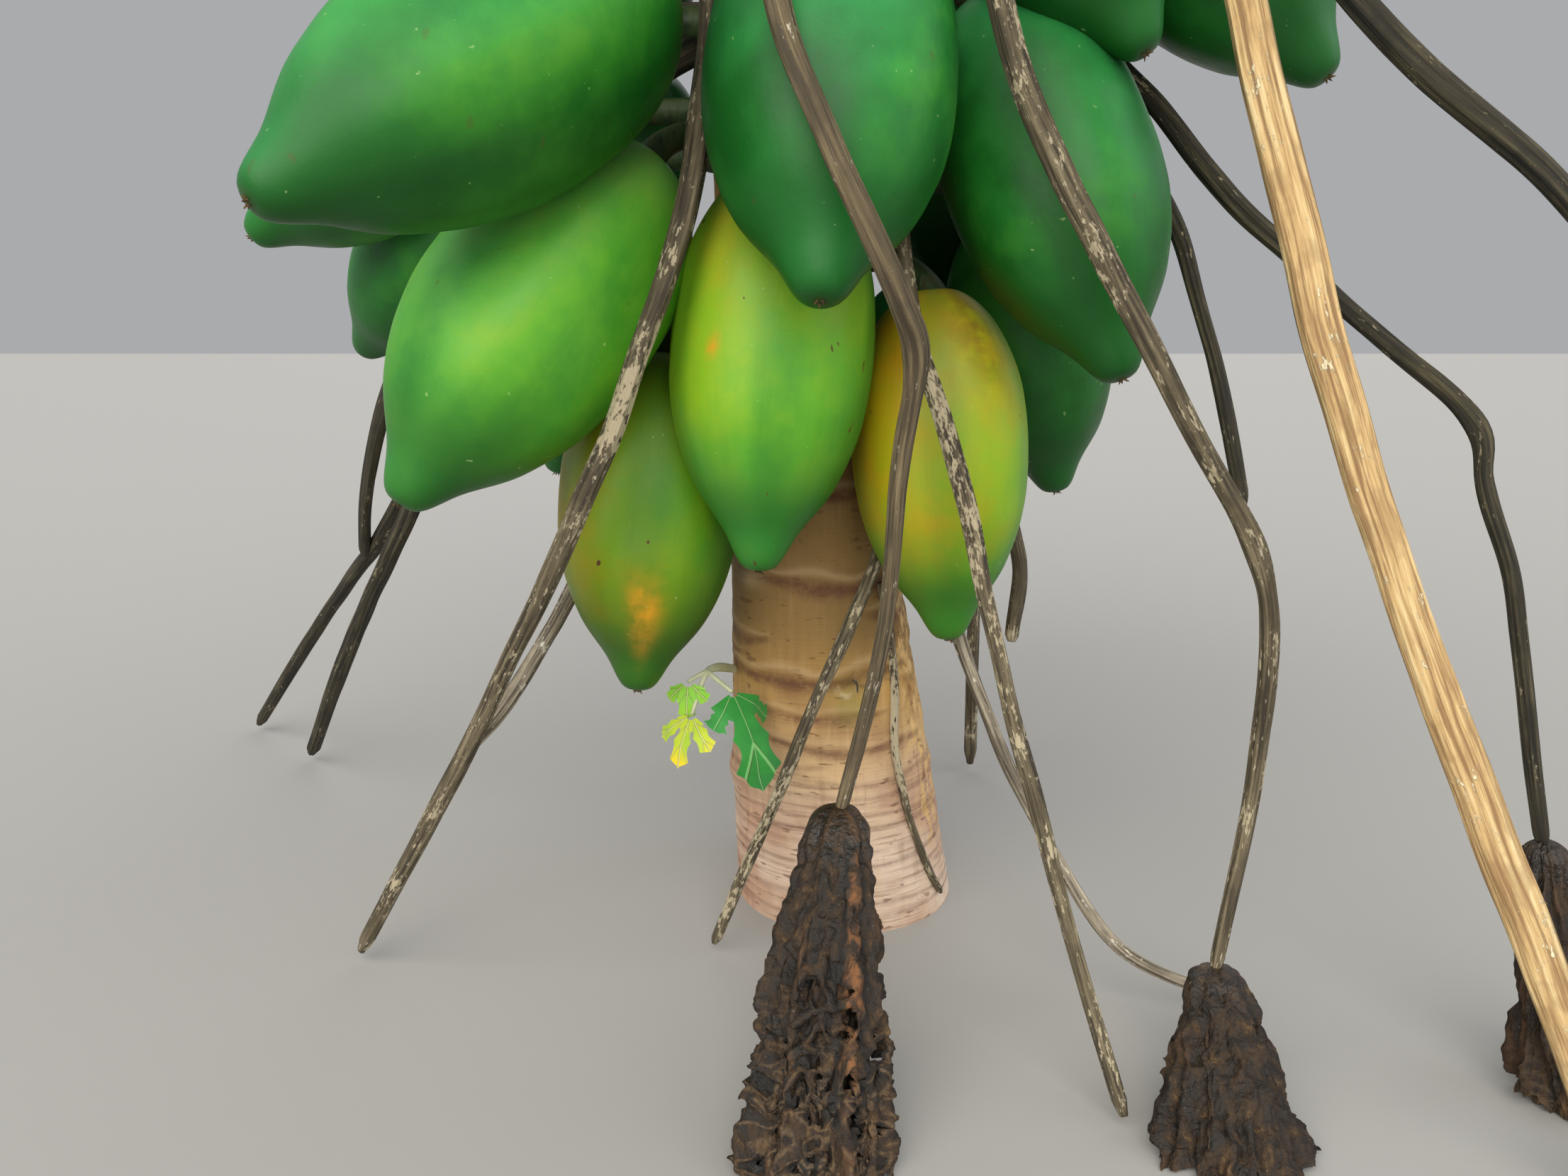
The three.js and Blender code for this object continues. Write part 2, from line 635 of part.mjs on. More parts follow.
for (const [name, stalks] of Object.entries(STALKS)) {
  const straw = name === 'stalk_straw';
  const material = straw ? FINISH.straw_stalk : FINISH.dead_stalk;
  const flat = straw ? STRAW_FLATNESS : 1;
  addNode(name, fitIn((grow) => stalksSolid(stalks, flat, grow)), material);
}

for (const [name, spec] of Object.entries(BROKEN)) {
  addNode(name, fitIn((grow) => brokenSolid(spec, grow)), FINISH.dead_leaf);
}

for (let i = 0; i < LEAF_COUNT; i += 1) {
  const material = i < YELLOW_LEAVES ? FINISH.leaf_yellow : FINISH.leaf_green;
  addNode(`leaf_${i + 1}`, fitIn((grow) => leafSolid(i, grow)), material);
}
addNode('young_leaves', fitIn(youngLeavesSolid), FINISH.leaf_green);
addNode('trunk_sprout', fitIn(sproutSolid), FINISH.sprout);

export default tree;
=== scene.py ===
# %% [markdown]
# # A dwarf papaya tree, dressed on its solid model
# The solid model gives the size, the places and the collision. This file grows finer skins over
# it by the same rules: bark with leaf scars, ridged fruits, dry furrowed stalks, crumpled dead
# leaves and lobed live ones. Everything is in metres, +Z is up, and -Y is the front.

# %% Load the frame
import math
import bpy
import numpy as np
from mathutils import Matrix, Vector


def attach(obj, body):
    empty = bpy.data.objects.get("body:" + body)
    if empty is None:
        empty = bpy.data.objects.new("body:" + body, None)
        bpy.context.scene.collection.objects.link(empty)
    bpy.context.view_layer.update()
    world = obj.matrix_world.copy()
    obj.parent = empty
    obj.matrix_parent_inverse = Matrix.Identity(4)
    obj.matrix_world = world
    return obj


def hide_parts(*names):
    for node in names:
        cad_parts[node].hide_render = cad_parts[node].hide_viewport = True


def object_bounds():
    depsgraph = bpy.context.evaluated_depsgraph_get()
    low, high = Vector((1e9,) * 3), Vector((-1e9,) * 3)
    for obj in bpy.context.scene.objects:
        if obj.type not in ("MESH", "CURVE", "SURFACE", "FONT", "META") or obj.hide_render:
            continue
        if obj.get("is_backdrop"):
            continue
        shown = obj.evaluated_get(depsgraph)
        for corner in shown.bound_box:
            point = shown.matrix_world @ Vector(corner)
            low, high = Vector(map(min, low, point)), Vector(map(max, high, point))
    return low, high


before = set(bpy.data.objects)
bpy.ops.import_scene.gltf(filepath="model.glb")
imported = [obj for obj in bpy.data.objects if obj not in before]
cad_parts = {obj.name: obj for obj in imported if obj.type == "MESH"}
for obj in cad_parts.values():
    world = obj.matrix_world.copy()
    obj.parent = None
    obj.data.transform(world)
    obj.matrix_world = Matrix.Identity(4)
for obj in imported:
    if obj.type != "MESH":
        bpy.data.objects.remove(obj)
cad_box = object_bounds()
print("solid model", len(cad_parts), "nodes, box", [round(v, 3) for v in (*cad_box[0], *cad_box[1])])

# %% [markdown]
# ## The view
# A wide lens looks a little down at the foot of the trunk and the lowest fruits, from close by.
# The crown is above the frame. A camera can be placed by eye, but a fixed height, pitch and lens
# are easier to check against the trunk's rings, which bow more the steeper the view is.

# %% Camera
CAMERA_PLACE = (-0.049, -0.894, 0.455)
CAMERA_PITCH = 13.0
CAMERA_LENS = 27.04
scene = bpy.context.scene


def linked(name, data):
    """A new object in the scene."""
    made = bpy.data.objects.new(name, data)
    scene.collection.objects.link(made)
    return made


camera_data = bpy.data.cameras.new("camera")
camera_data.lens = CAMERA_LENS
camera_data.sensor_width = 36.0
camera_data.clip_start = 0.02
camera = linked("camera", camera_data)
camera.location = CAMERA_PLACE
camera.rotation_euler = (math.radians(90 - CAMERA_PITCH), 0, 0)
scene.camera = camera
print("camera at", CAMERA_PLACE, "pitch", CAMERA_PITCH, "lens", CAMERA_LENS)

# %% [markdown]
# ## Light and floor
# The plant stands in the open under a bright, even sky, so the light is broad and soft: a pale
# sky all round, one wide sun high on the front left and weaker ones on the right and behind. A
# low one in front reaches in under the fruits, as light from pale ground does.

# %% Sky, suns and floor
SKY_COLOUR, SKY_STRENGTH = (0.95, 0.97, 1.0, 1), 0.42
FLOOR_COLOUR, FLOOR_ROUGHNESS, FLOOR_HALF = (0.37, 0.36, 0.345, 1), 0.9, 14.0
# Each sun: the way to it, its width in degrees, its power and its colour.
SUNS = {
    "key_sun": ((-0.42, -0.95, 0.92), 75, 2.75, (1.0, 0.97, 0.9)),
    "side_sun": ((0.9, -0.25, 0.6), 60, 0.95, (0.94, 0.97, 1.0)),
    "back_sun": ((0.1, 0.9, 0.7), 60, 0.8, (0.97, 0.98, 1.0)),
    "low_sun": ((0.0, -1.0, 0.32), 70, 1.05, (1.0, 0.98, 0.94)),
}
scene.world = bpy.data.worlds.new("even_sky")
scene.world.use_nodes = True
backdrop = scene.world.node_tree.nodes["Background"]
backdrop.inputs["Color"].default_value = SKY_COLOUR
backdrop.inputs["Strength"].default_value = SKY_STRENGTH
for name, (toward, spread, power, tint) in SUNS.items():
    data = bpy.data.lights.new(name, "SUN")
    data.angle, data.energy, data.color = math.radians(spread), power, tint
    linked(name, data).rotation_euler = Vector(toward).to_track_quat("Z", "Y").to_euler()

floor_mesh = bpy.data.meshes.new("floor")
corners = [(x * FLOOR_HALF, y * FLOOR_HALF, 0) for x, y in ((-1, -1), (1, -1), (1, 1), (-1, 1))]
floor_mesh.from_pydata(corners, [], [(0, 1, 2, 3)])
floor = linked("floor", floor_mesh)
floor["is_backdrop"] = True
floor_paint = bpy.data.materials.new("pale_floor")
floor_paint.use_nodes = True
matt = floor_paint.node_tree.nodes["Principled BSDF"]
matt.inputs["Base Color"].default_value = FLOOR_COLOUR
matt.inputs["Roughness"].default_value = FLOOR_ROUGHNESS
floor_mesh.materials.append(floor_paint)
scene.view_settings.view_transform = "Standard"
print("lights", len(SUNS), "and a floor of", 2 * FLOOR_HALF, "m")

# %% [markdown]
# ## Small tools for growing meshes
# Nearly every part of a plant is a tube or a turned body with something uneven about it. Blender
# could sweep curves, but the furrows, scars and ridges need each point of the skin to know how
# far along and how far round it is. So the skins are grids of points worked out with numpy, and
# those two numbers are kept on the mesh for the materials.

# %% Directions, blends and soft noise
MM = 0.001
# Where the random draws of each kind of part start.
SEEDS = {"stalk": 5, "fruit": 20, "flower_rest": 60, "dead_leaf": 80, "remains": 151, "young_fruit": 200,
         "leaf": 300, "young_leaf": 400, "shoot_leaf": 500}


def unit(vectors):
    return vectors / np.maximum(np.linalg.norm(vectors, axis=-1, keepdims=True), 1e-12)


def heading(bearing, dip=0.0):
    """A direction from a bearing, with 0 along +X, and a dip below the horizontal, in degrees."""
    turn, fall = math.radians(bearing), math.radians(dip)
    return np.array([math.cos(fall) * math.cos(turn), math.cos(fall) * math.sin(turn), -math.sin(fall)])


def turns(count):
    """That many even turns of a full circle, in radians."""
    return np.linspace(0, 2 * math.pi, count, endpoint=False)


def on_roll(turn, height):
    """Points on an upright roll of radius 1, at those turns and heights."""
    turn, height = np.broadcast_arrays(turn, height)
    return np.stack([np.cos(turn), np.sin(turn), height], -1)


def filled(values, shape):
    """The values repeated to fill a grid of that shape, as one row."""
    return np.broadcast_to(values, shape).ravel()


def between(pair, share):
    return pair[0] + (pair[1] - pair[0]) * share


def ease(low, high, value):
    """0 below low, 1 above high, and a smooth step between them."""
    share = np.clip((np.asarray(value, float) - low) / (high - low), 0, 1)
    return share * share * (3 - 2 * share)


def bump_at(value, middle, width):
    """A soft bump of height 1 round a middle value."""
    return np.exp(-((np.asarray(value, float) - middle) / width) ** 2)


def ripple(points, size, seed, octaves=3):
    """Soft noise from -1 to 1 at each point: sines of about that size, along seeded directions."""
    dice = np.random.default_rng(seed)
    total, weight = np.zeros(points.shape[:-1]), 0.0
    for octave in range(octaves):
        for _ in range(5):
            along = unit(dice.normal(size=points.shape[-1]))
            pace = 2 * math.pi / (size / 2 ** octave) * dice.uniform(0.7, 1.4)
            total += np.sin(points @ along * pace + dice.uniform(0, 2 * math.pi)) / 2 ** octave
        weight += 2.2 / 2 ** octave
    return np.clip(total / weight, -1, 1)


def ripples(points, size, seeds, octaves=2):
    """A shift in each direction at each point, from three seeds."""
    return np.stack([ripple(points, size, seed, octaves) for seed in seeds], -1)


print("ripple of three points", ripple(np.eye(3), 0.5, 1).round(3))

# %% Meshes from grids
grown = {"pieces": 0, "triangles": 0, "told": 0}


def grid_faces(rows, columns, closed=True):
    """Quads between neighbouring rings, or strips, of a grid."""
    row = np.arange(rows - 1)[:, None] * columns
    here = np.arange(columns if closed else columns - 1)[None, :]
    there = (here + 1) % columns
    quads = np.stack([row + here, row + there, row + there + columns, row + here + columns], axis=-1)
    return quads.reshape(-1, 4)


def joined(parts):
    """Several (points, faces, marks) as one. Marks missing from a part are zero there."""
    points, faces, marks = zip(*parts)
    starts = np.cumsum([0, *map(len, points)])
    names = sorted({name for some in marks for name in some})
    together = {name: np.concatenate([some.get(name, np.zeros(len(own))) for own, some in zip(points, marks)])
                for name in names}
    return np.concatenate(points), np.concatenate([f + start for f, start in zip(faces, starts)]), together


def grow_piece(name, parts, paints, slot, *nodes):
    """A smooth object from (part, paint number) pairs. It rides on the plant, stands for the solids it
    covers, and its slot is not used."""
    points, faces, marks = joined([part for part, _ in parts])
    mesh = bpy.data.meshes.new(name)
    mesh.from_pydata(points.tolist(), [], faces.tolist())
    for mark, values in marks.items():
        mesh.attributes.new(mark, "FLOAT", "POINT").data.foreach_set("value", values.astype(np.float32))
    for paint in paints:
        mesh.materials.append(paint)
    numbers = np.repeat([number for _, number in parts], [len(part[1]) for part, _ in parts])
    mesh.polygons.foreach_set("material_index", numbers.astype(np.int32))
    mesh.shade_smooth()
    piece = linked(name, mesh)
    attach(piece, "root")
    if nodes:
        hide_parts(*nodes)
    grown["pieces"] += 1
    grown["triangles"] += sum(len(p.vertices) - 2 for p in mesh.polygons)


def fresh():
    """How many triangles have grown since this was last asked."""
    new = grown["triangles"] - grown["told"]
    grown["told"] += new
    return new


print("a grid of 3 rings of 4 points has", len(grid_faces(3, 4)), "quads")

# %% [markdown]
# ## Limbs
# A stalk or a stem runs along a smooth curve through a few places. The curve is the source's own
# (a centripetal Catmull-Rom spline), so that the fine stalk lies inside the plain one. The rings
# of points are carried along it without twisting, and a table of radii gives each point its own
# distance from the middle.

# %% Curves
def step_lengths(path):
    return np.linalg.norm(np.diff(path, axis=0), axis=1)


def distances(path):
    """How far along a path each of its points is."""
    return np.concatenate([[0], np.cumsum(step_lengths(path))])


def spline(places, count):
    """Points at even steps along a centripetal Catmull-Rom curve through the places."""
    places = np.asarray(places, float)
    ends = [2 * places[0] - places[1], *places, 2 * places[-1] - places[-2]]
    fine = []
    for p0, p1, p2, p3 in zip(ends[:-3], ends[1:-2], ends[2:-1], ends[3:]):
        g0, g1, g2 = (max(np.linalg.norm(b - a), 1e-6) ** 0.5 for a, b in ((p0, p1), (p1, p2), (p2, p3)))
        m1 = ((p1 - p0) / g0 - (p2 - p0) / (g0 + g1) + (p2 - p1) / g1) * g1
        m2 = ((p2 - p1) / g1 - (p3 - p1) / (g1 + g2) + (p3 - p2) / g2) * g1
        t = np.linspace(0, 1, 40, endpoint=False)[:, None]
        fine.append(p1 + m1 * t + (3 * (p2 - p1) - 2 * m1 - m2) * t ** 2 + (2 * (p1 - p2) + m1 + m2) * t ** 3)
    return even_steps(np.vstack([*fine, places[-1:]]), count)


def even_steps(path, count):
    """The same path with that many points at even distances."""
    lengths = distances(path)
    wanted = np.linspace(0, lengths[-1], count)
    return np.stack([np.interp(wanted, lengths, path[:, i]) for i in range(3)], axis=-1)


def bow(start, bend, end, count):
    """Points along a curve from start to end that is pulled towards a bend."""
    t = np.linspace(0, 1, count)[:, None]
    return even_steps((1 - t) ** 2 * start + 2 * t * (1 - t) * bend + t ** 2 * end, count)


test_path = spline([(0, 0, 0), (0, 0, 1), (1, 0, 1)], 9)
print("a spline of", len(test_path), "points,", round(float(step_lengths(test_path).sum()), 3), "m long")

# %% Tubes
def carried_frames(path):
    """Two side directions at each point of a path, carried without twist."""
    tangents = unit(np.gradient(path, axis=0))
    first = np.eye(3)[int(np.argmin(np.abs(tangents[0])))]
    sides = [np.cross(tangents[0], unit(np.cross(tangents[0], first)))]
    for tangent in tangents[1:]:
        sides.append(unit(sides[-1] - tangent * (sides[-1] @ tangent)))
    return np.array(sides), np.cross(tangents, sides)


def ring_round(across, beside, turn):
    """Directions from two that are square to each other, at each turn."""
    return across[..., None, :] * np.cos(turn)[:, None] + beside[..., None, :] * np.sin(turn)[:, None]


def tube(path, radii, flat=1.0):
    """A skin along a path. radii has a row for each point of the path and a column for each side."""
    rows, columns = radii.shape
    sides, others = carried_frames(path)
    turn, reach = turns(columns), float(radii.mean())
    points = (path[:, None] + ring_round(sides * flat, others, turn) * radii[..., None]).reshape(-1, 3)
    closing = []
    for start, step in ((0, 1), ((rows - 1) * columns, -1)):
        for i in range(1, columns // 2):
            closing.append([start + i, start + i - 1, start + columns - i, start + columns - i - 1][::step])
    marks = {
        "far": filled(distances(path)[:, None], radii.shape),
        "wrap_x": filled(np.cos(turn) * reach, radii.shape),
        "wrap_y": filled(np.sin(turn) * reach, radii.shape),
    }
    return points, np.concatenate([grid_faces(rows, columns), np.array(closing)]), marks


def plain_radii(start, end, rows, columns):
    return np.linspace(start, end, rows)[:, None] * np.ones((1, columns))


print("a tube along it has", len(tube(test_path, plain_radii(0.1, 0.05, 9, 8))[1]), "quads")

# %% [markdown]
# ## Small tools for finishes
# A finish is a chain of nodes. These helpers add a node, wire it and set its values in one line,
# and make node groups with named inputs and outputs. Colours are given as the eye reads them and
# turned into the light values that Blender works with.

# %% Colours and chains of nodes
def paint_colour(code):
    """A colour such as "8a6b43" as red, green, blue and alpha in light values."""
    parts = [int(code[i:i + 2], 16) / 255 for i in (0, 2, 4)]
    return (*[p / 12.92 if p <= 0.04045 else ((p + 0.055) / 1.055) ** 2.4 for p in parts], 1.0)


class Chain:
    """Adds nodes to one node tree, and wires them."""

    def __init__(self, tree):
        self.tree = tree

    def fill(self, sockets, values):
        """Gives each named socket a wire, a colour or a number. None leaves it alone."""
        for name, value in values.items():
            if isinstance(value, bpy.types.NodeSocket):
                self.tree.links.new(value, sockets[name])
            elif value is not None:
                sockets[name].default_value = paint_colour(value) if isinstance(value, str) else value

    def node(self, kind, inputs, **settings):
        made = self.tree.nodes.new(kind)
        for name, value in settings.items():
            setattr(made, name, value)
        self.fill(made.inputs, inputs)
        return made

    def mark(self, name):
        return self.node("ShaderNodeAttribute", {}, attribute_name=name).outputs["Fac"]

    def math(self, operation, a, b=None, c=None, clamp=False):
        return self.node("ShaderNodeMath", {0: a, 1: b, 2: c}, operation=operation,
                         use_clamp=clamp).outputs[0]

    def times(self, a, b):
        return self.math("MULTIPLY", a, b)

    def plus(self, a, b, clamp=False):
        return self.math("ADD", a, b, clamp=clamp)

    def times_plus(self, a, b, c):
        return self.math("MULTIPLY_ADD", a, b, c)

    def blend(self, share, a, b, mode="MIX"):
        return self.node("ShaderNodeMix", {0: share, 6: a, 7: b}, data_type="RGBA",
                         blend_type=mode).outputs[2]

    def layers(self, skin, *coats):
        """Lays coats over a skin in turn. Each has its share, a strength or None, and its colour."""
        for share, strength, tint, *mode in coats:
            skin = self.blend(share if strength is None else self.times(share, strength), skin, tint, *mode)
        return skin

    def between(self, value, low, high, to_low=0.0, to_high=1.0):
        return self.node("ShaderNodeMapRange", {
            "Value": value, "From Min": low, "From Max": high, "To Min": to_low, "To Max": to_high,
        }, interpolation_type="SMOOTHSTEP").outputs["Result"]

    def vector(self, x, y, z):
        return self.node("ShaderNodeCombineXYZ", {"X": x, "Y": y, "Z": z}).outputs[0]

    def place(self, stretch=(1, 1, 1)):
        """The place on the plant, stretched for a noise that is to run one way."""
        here = self.node("ShaderNodeTexCoord", {}).outputs["Object"]
        return self.node("ShaderNodeMapping", {"Vector": here, "Scale": stretch}).outputs[0]

    def noise(self, where, scale, detail=3.0, roughness=0.55):
        return self.node("ShaderNodeTexNoise", {
            "Vector": where, "Scale": scale, "Detail": detail, "Roughness": roughness}).outputs["Fac"]

    def ramp(self, value, stops):
        made = self.node("ShaderNodeValToRGB", {"Fac": value})
        band = made.color_ramp
        while len(band.elements) < len(stops):
            band.elements.new(0.5)
        for element, (place, code) in zip(band.elements, stops):
            element.position = place
            element.color = paint_colour(code)
        return made.outputs["Color"]


print("8a6b43 as light values", [round(v, 3) for v in paint_colour("8a6b43")])

# %% Groups and materials
NUMBER, COLOUR = "NodeSocketFloat", "NodeSocketColor"


def new_group(name, inputs, outputs):
    """A node group: its tree, a chain to fill it with, its inputs and its output sockets."""
    tree = bpy.data.node_groups.new(name, "ShaderNodeTree")
    for label, value in inputs.items():
        kind = COLOUR if isinstance(value, str) else NUMBER
        made = tree.interface.new_socket(label, in_out="INPUT", socket_type=kind)
        made.default_value = paint_colour(value) if isinstance(value, str) else value
    for label, kind in outputs.items():
        tree.interface.new_socket(label, in_out="OUTPUT", socket_type=kind)
    given, result = tree.nodes.new("NodeGroupInput").outputs, tree.nodes.new("NodeGroupOutput").inputs
    return tree, Chain(tree), given, result


def new_paint(name, rough=0.7):
    """A material with a chain for it and its shader."""
    made = bpy.data.materials.new(name)
    made.use_nodes = True
    shader = made.node_tree.nodes["Principled BSDF"]
    shader.inputs["Roughness"].default_value = rough
    return made, Chain(made.node_tree), shader


def dress(chain, shader, colour, rough=None, height=None, depth=0.001):
    """Feeds a shader its colour, its roughness, and a height in shares of a depth in metres."""
    if height is not None:
        height = chain.node("ShaderNodeBump", {"Height": height, "Distance": depth}).outputs[0]
    chain.fill(shader.inputs, {"Base Color": colour, "Roughness": rough, "Normal": height})


def group_paint(name, tree, depth, rough, values):
    """A material that shows a group's outputs, with values for its first inputs, and its shader."""
    made, wire, shader = new_paint(name, rough)
    node = wire.node("ShaderNodeGroup", dict(enumerate(values)), node_tree=tree)
    dress(wire, shader, node.outputs["Color"], node.outputs.get("Roughness"), node.outputs["Height"], depth)
    return made, shader


def mottled_paint(name, rough, tone, stops, grain=None, depth=0.0006):
    """A material from noise. tone and grain each have an upright stretch, a scale and a detail."""
    made, wire, shader = new_paint(name, rough)
    tone, grain = (some and wire.noise(wire.place((1, 1, some[0])), *some[1:]) for some in (tone, grain))
    dress(wire, shader, wire.ramp(tone, stops), None, grain, depth)
    return made


print("a group's sockets are", NUMBER, "or", COLOUR)

# %% [markdown]
# ## The trunk's shape
# A papaya has one soft stem, no branches and no true bark. It flares at the foot, leans a little
# to the left and to the front, and each fallen leaf leaves a scar across it: far apart where the
# plant grew fast, close together and ringed right round near the ground. The source's rule gives
# its middle line and its radius, and the scars, a lump and a bud mark are pressed into that.

# %% The middle line and the radius
TRUNK_HEIGHT = 1.5
TRUNK_RADIUS, TRUNK_TAPER = 0.054, 0.016
FLARE_RADIUS, FLARE_HEIGHT, FLARE_POWER = 0.0335, 0.33, 1.3
LEAN_LEFT, LEAN_FRONT, LEAN_EASE = 0.1, 0.07, 0.2
ROOT_DEPTH = 0.006


def trunk_centre(height):
    height = np.asarray(height, float)
    eased = height * (1 - LEAN_EASE * height)
    return np.stack([-LEAN_LEFT * eased, -LEAN_FRONT * eased, height], axis=-1)


def trunk_radius(height):
    height = np.maximum(height, 0)
    flare = FLARE_RADIUS * np.exp(-(height / FLARE_HEIGHT) ** FLARE_POWER)
    return TRUNK_RADIUS - TRUNK_TAPER * height + flare


def on_trunk(bearing, height, reach=0.0):
    """A place beside the trunk's skin, in metres."""
    return trunk_centre(height) + heading(bearing) * (float(trunk_radius(height)) + reach)


print("radius at the foot and at 0.3 m", round(float(trunk_radius(0)), 4), round(float(trunk_radius(0.3)), 4))

# %% Leaf scars by rule
SCAR_TURN = 137.5
SCAR_GAP_LOW, SCAR_GAP_HIGH = 0.0088, 0.027
SCAR_GAP_RISE = (0.1, 0.17)
BANDS_FROM, BANDS_TO = 0.125, 0.285
# Height, bearing, half the spread in degrees, strength and width of the clearest scars. They take
# the place of the rule's scars between the two heights above.
MAIN_BANDS = ((0.266, -76, 78, 1.0, 0.0062), (0.241, -24, 40, 0.8, 0.005), (0.222, -152, 30, 0.85, 0.0052),
              (0.196, -104, 84, 1.0, 0.006), (0.19, -20, 40, 0.45, 0.003), (0.166, -98, 50, 0.8, 0.0042),
              (0.143, -84, 66, 0.8, 0.0042), (0.128, -130, 40, 0.4, 0.003), (0.118, -60, 60, 0.45, 0.0026),
              (0.256, 96, 70, 0.9, 0.0055), (0.23, 40, 60, 0.7, 0.0045), (0.207, 150, 70, 0.8, 0.005),
              (0.178, 78, 80, 0.85, 0.005), (0.152, 130, 70, 0.7, 0.004), (0.134, 50, 70, 0.5, 0.003))


def scar_list():
    """Each scar as height, bearing, half its spread in degrees, strength and width."""
    scars = list(MAIN_BANDS)
    height, index = 0.012, 0
    while height < TRUNK_HEIGHT - 0.06:
        young = float(ease(*SCAR_GAP_RISE, height))
        if not BANDS_FROM < height < BANDS_TO:
            spread = 175 - 95 * young + 25 * math.sin(index * 2.3)
            strength = between((0.38 + 0.2 * math.sin(index * 1.7), 0.75 + 0.2 * math.sin(index * 3.1)),
                               young)
            scars.append((height, SCAR_TURN * index - 90, spread, strength, 0.0024 + 0.0016 * young))
        height += SCAR_GAP_LOW + (SCAR_GAP_HIGH - SCAR_GAP_LOW) * young
        index += 1
    return scars


SCARS = scar_list()
print(len(SCARS), "leaf scars from", round(SCARS[7][0], 3), "m up to", round(SCARS[-1][0], 3), "m")

# %% Scars pressed into the bark
# Lumps in the bark: height, bearing, how far each stands out, half its height and half its spread.
LUMPS = ((0.108, 188, 0.004, 0.013, 20), (0.272, -136, 0.005, 0.009, 11))
BUD_MARK = (0.194, -78)
STAIN = (0.18, -76)


def bearing_gap(bearings, middle):
    """How far bearings are from one bearing, in degrees."""
    return np.abs((bearings - middle + 180) % 360 - 180)


def press_scars(heights, bearings):
    """How far each point of the bark stands out, and how dark and how pale its scar is."""
    relief, band, lip = (np.zeros(heights.shape) for _ in range(3))
    for index, (height, bearing, spread, strength, width) in enumerate(SCARS):
        near = np.abs(heights[:, 0] - height) < 0.03
        h, b = heights[near], np.radians(bearings[near])
        away = bearing_gap(bearings[near], bearing)
        cover = strength * (1 - ease(spread * 0.7, spread * 1.05 + 1e-3, away))
        wavy = 0.0018 * np.sin(b * 2 + index) + 0.0008 * np.sin(b * 5 + index * 2.1)
        width = width * (1 - 0.5 * ease(spread * 0.3, spread, away)) * (1 + 0.25 * np.sin(b * 7 + index))
        sag = 0.006 * ease(0, spread, away) * (1 if spread < 120 else 0.3)
        rise = h - height - wavy - sag
        band[near] = np.maximum(band[near], cover * bump_at(rise, 0, width))
        lip[near] = np.maximum(lip[near], cover * bump_at(rise, width * 1.7, width * 0.5))
        swell = 0.0004 * bump_at(rise, width * 1.6, width) - 0.0005 * bump_at(rise, 0, width * 0.5)
        relief[near] += cover * swell
    return relief, band, lip


print("lumps", len(LUMPS), "and a bud mark at", BUD_MARK[0], "m")

# %% The bark's grid of points
BARK_SIDES = 150
BARK_HEIGHTS = np.concatenate([np.linspace(0, 0.46, 330, endpoint=False),
                               np.linspace(0.46, TRUNK_HEIGHT, 200)])
BARK_SKIN = 0.0012


def bark_part():
    bearings = np.linspace(0, 360, BARK_SIDES, endpoint=False)[None]
    heights, bearings = (a.copy() for a in np.broadcast_arrays(BARK_HEIGHTS[:, None], bearings))
    outward = on_roll(np.radians(bearings), 0)
    relief, band, lip = press_scars(heights, bearings)
    where = outward * 0.08 + heights[..., None] * (0, 0, 1)
    relief += 0.0008 * ripple(where, 0.1, 3) + 0.0003 * ripple(where * (1, 1, 0.35), 0.014, 4)
    for height, bearing, rise, tall, wide in LUMPS:
        relief += rise * bump_at(heights, height, tall) * bump_at(bearing_gap(bearings, bearing), 0, wide)
    from_bud = np.hypot((heights - BUD_MARK[0]) / 0.007, bearing_gap(bearings, BUD_MARK[1]) / 6)
    from_stain = np.hypot((heights - STAIN[0]) / 0.016, bearing_gap(bearings, STAIN[1]) / 11)
    relief += 0.0016 * bump_at(from_bud, 0.8, 0.35) - 0.001 * bump_at(from_bud, 0, 0.5)
    signed = bearings - 360 * (bearings > 180)
    peel = ease(-44, -32, signed) * (1 - ease(10, 30, signed))
    peel = peel * ease(0.03, 0.09, heights) * (1 - ease(0.24, 0.3, heights))
    relief += peel * 0.0016 * ripple(where * (1, 1, 0.3), 0.016, 9)
    radius = trunk_radius(heights) - BARK_SKIN + relief * ease(0, 0.004, heights)
    marks = {
        "band": band, "lip": lip, "peel": peel, "height": heights,
        "bud": bump_at(from_bud, 1.0, 0.25) * ease(BUD_MARK[0] + 0.003, BUD_MARK[0] - 0.002, heights),
        "stain": bump_at(from_stain, 0, 1.0),
        "lump": bump_at(heights, LUMPS[1][0], 0.008) * bump_at(bearing_gap(bearings, LUMPS[1][1]), 0, 9),
    }
    points = (trunk_centre(heights) + outward * radius[..., None]).reshape(-1, 3)
    return points, grid_faces(*heights.shape), {name: value.ravel() for name, value in marks.items()}


def trunk_tip_part(rows=10, columns=40):
    """The rounded top of the stem, where the young leaves stand."""
    crown = float(trunk_radius(TRUNK_HEIGHT))
    rise = np.linspace(0, math.pi / 2, rows)[:, None]
    widths = crown * (1 - 0.98 * (1 - np.cos(rise))) - 0.001
    ring = on_roll(turns(columns), np.sin(rise)) * np.stack([widths, widths, 0 * widths + crown * 0.8], -1)
    points = (trunk_centre(TRUNK_HEIGHT) + ring).reshape(-1, 3)
    return points, grid_faces(rows, columns), {"height": points[:, 2]}


bark_skin = bark_part()
print("bark grid", len(bark_skin[0]), "points, box", bark_skin[0].min(0).round(3),
      bark_skin[0].max(0).round(3))
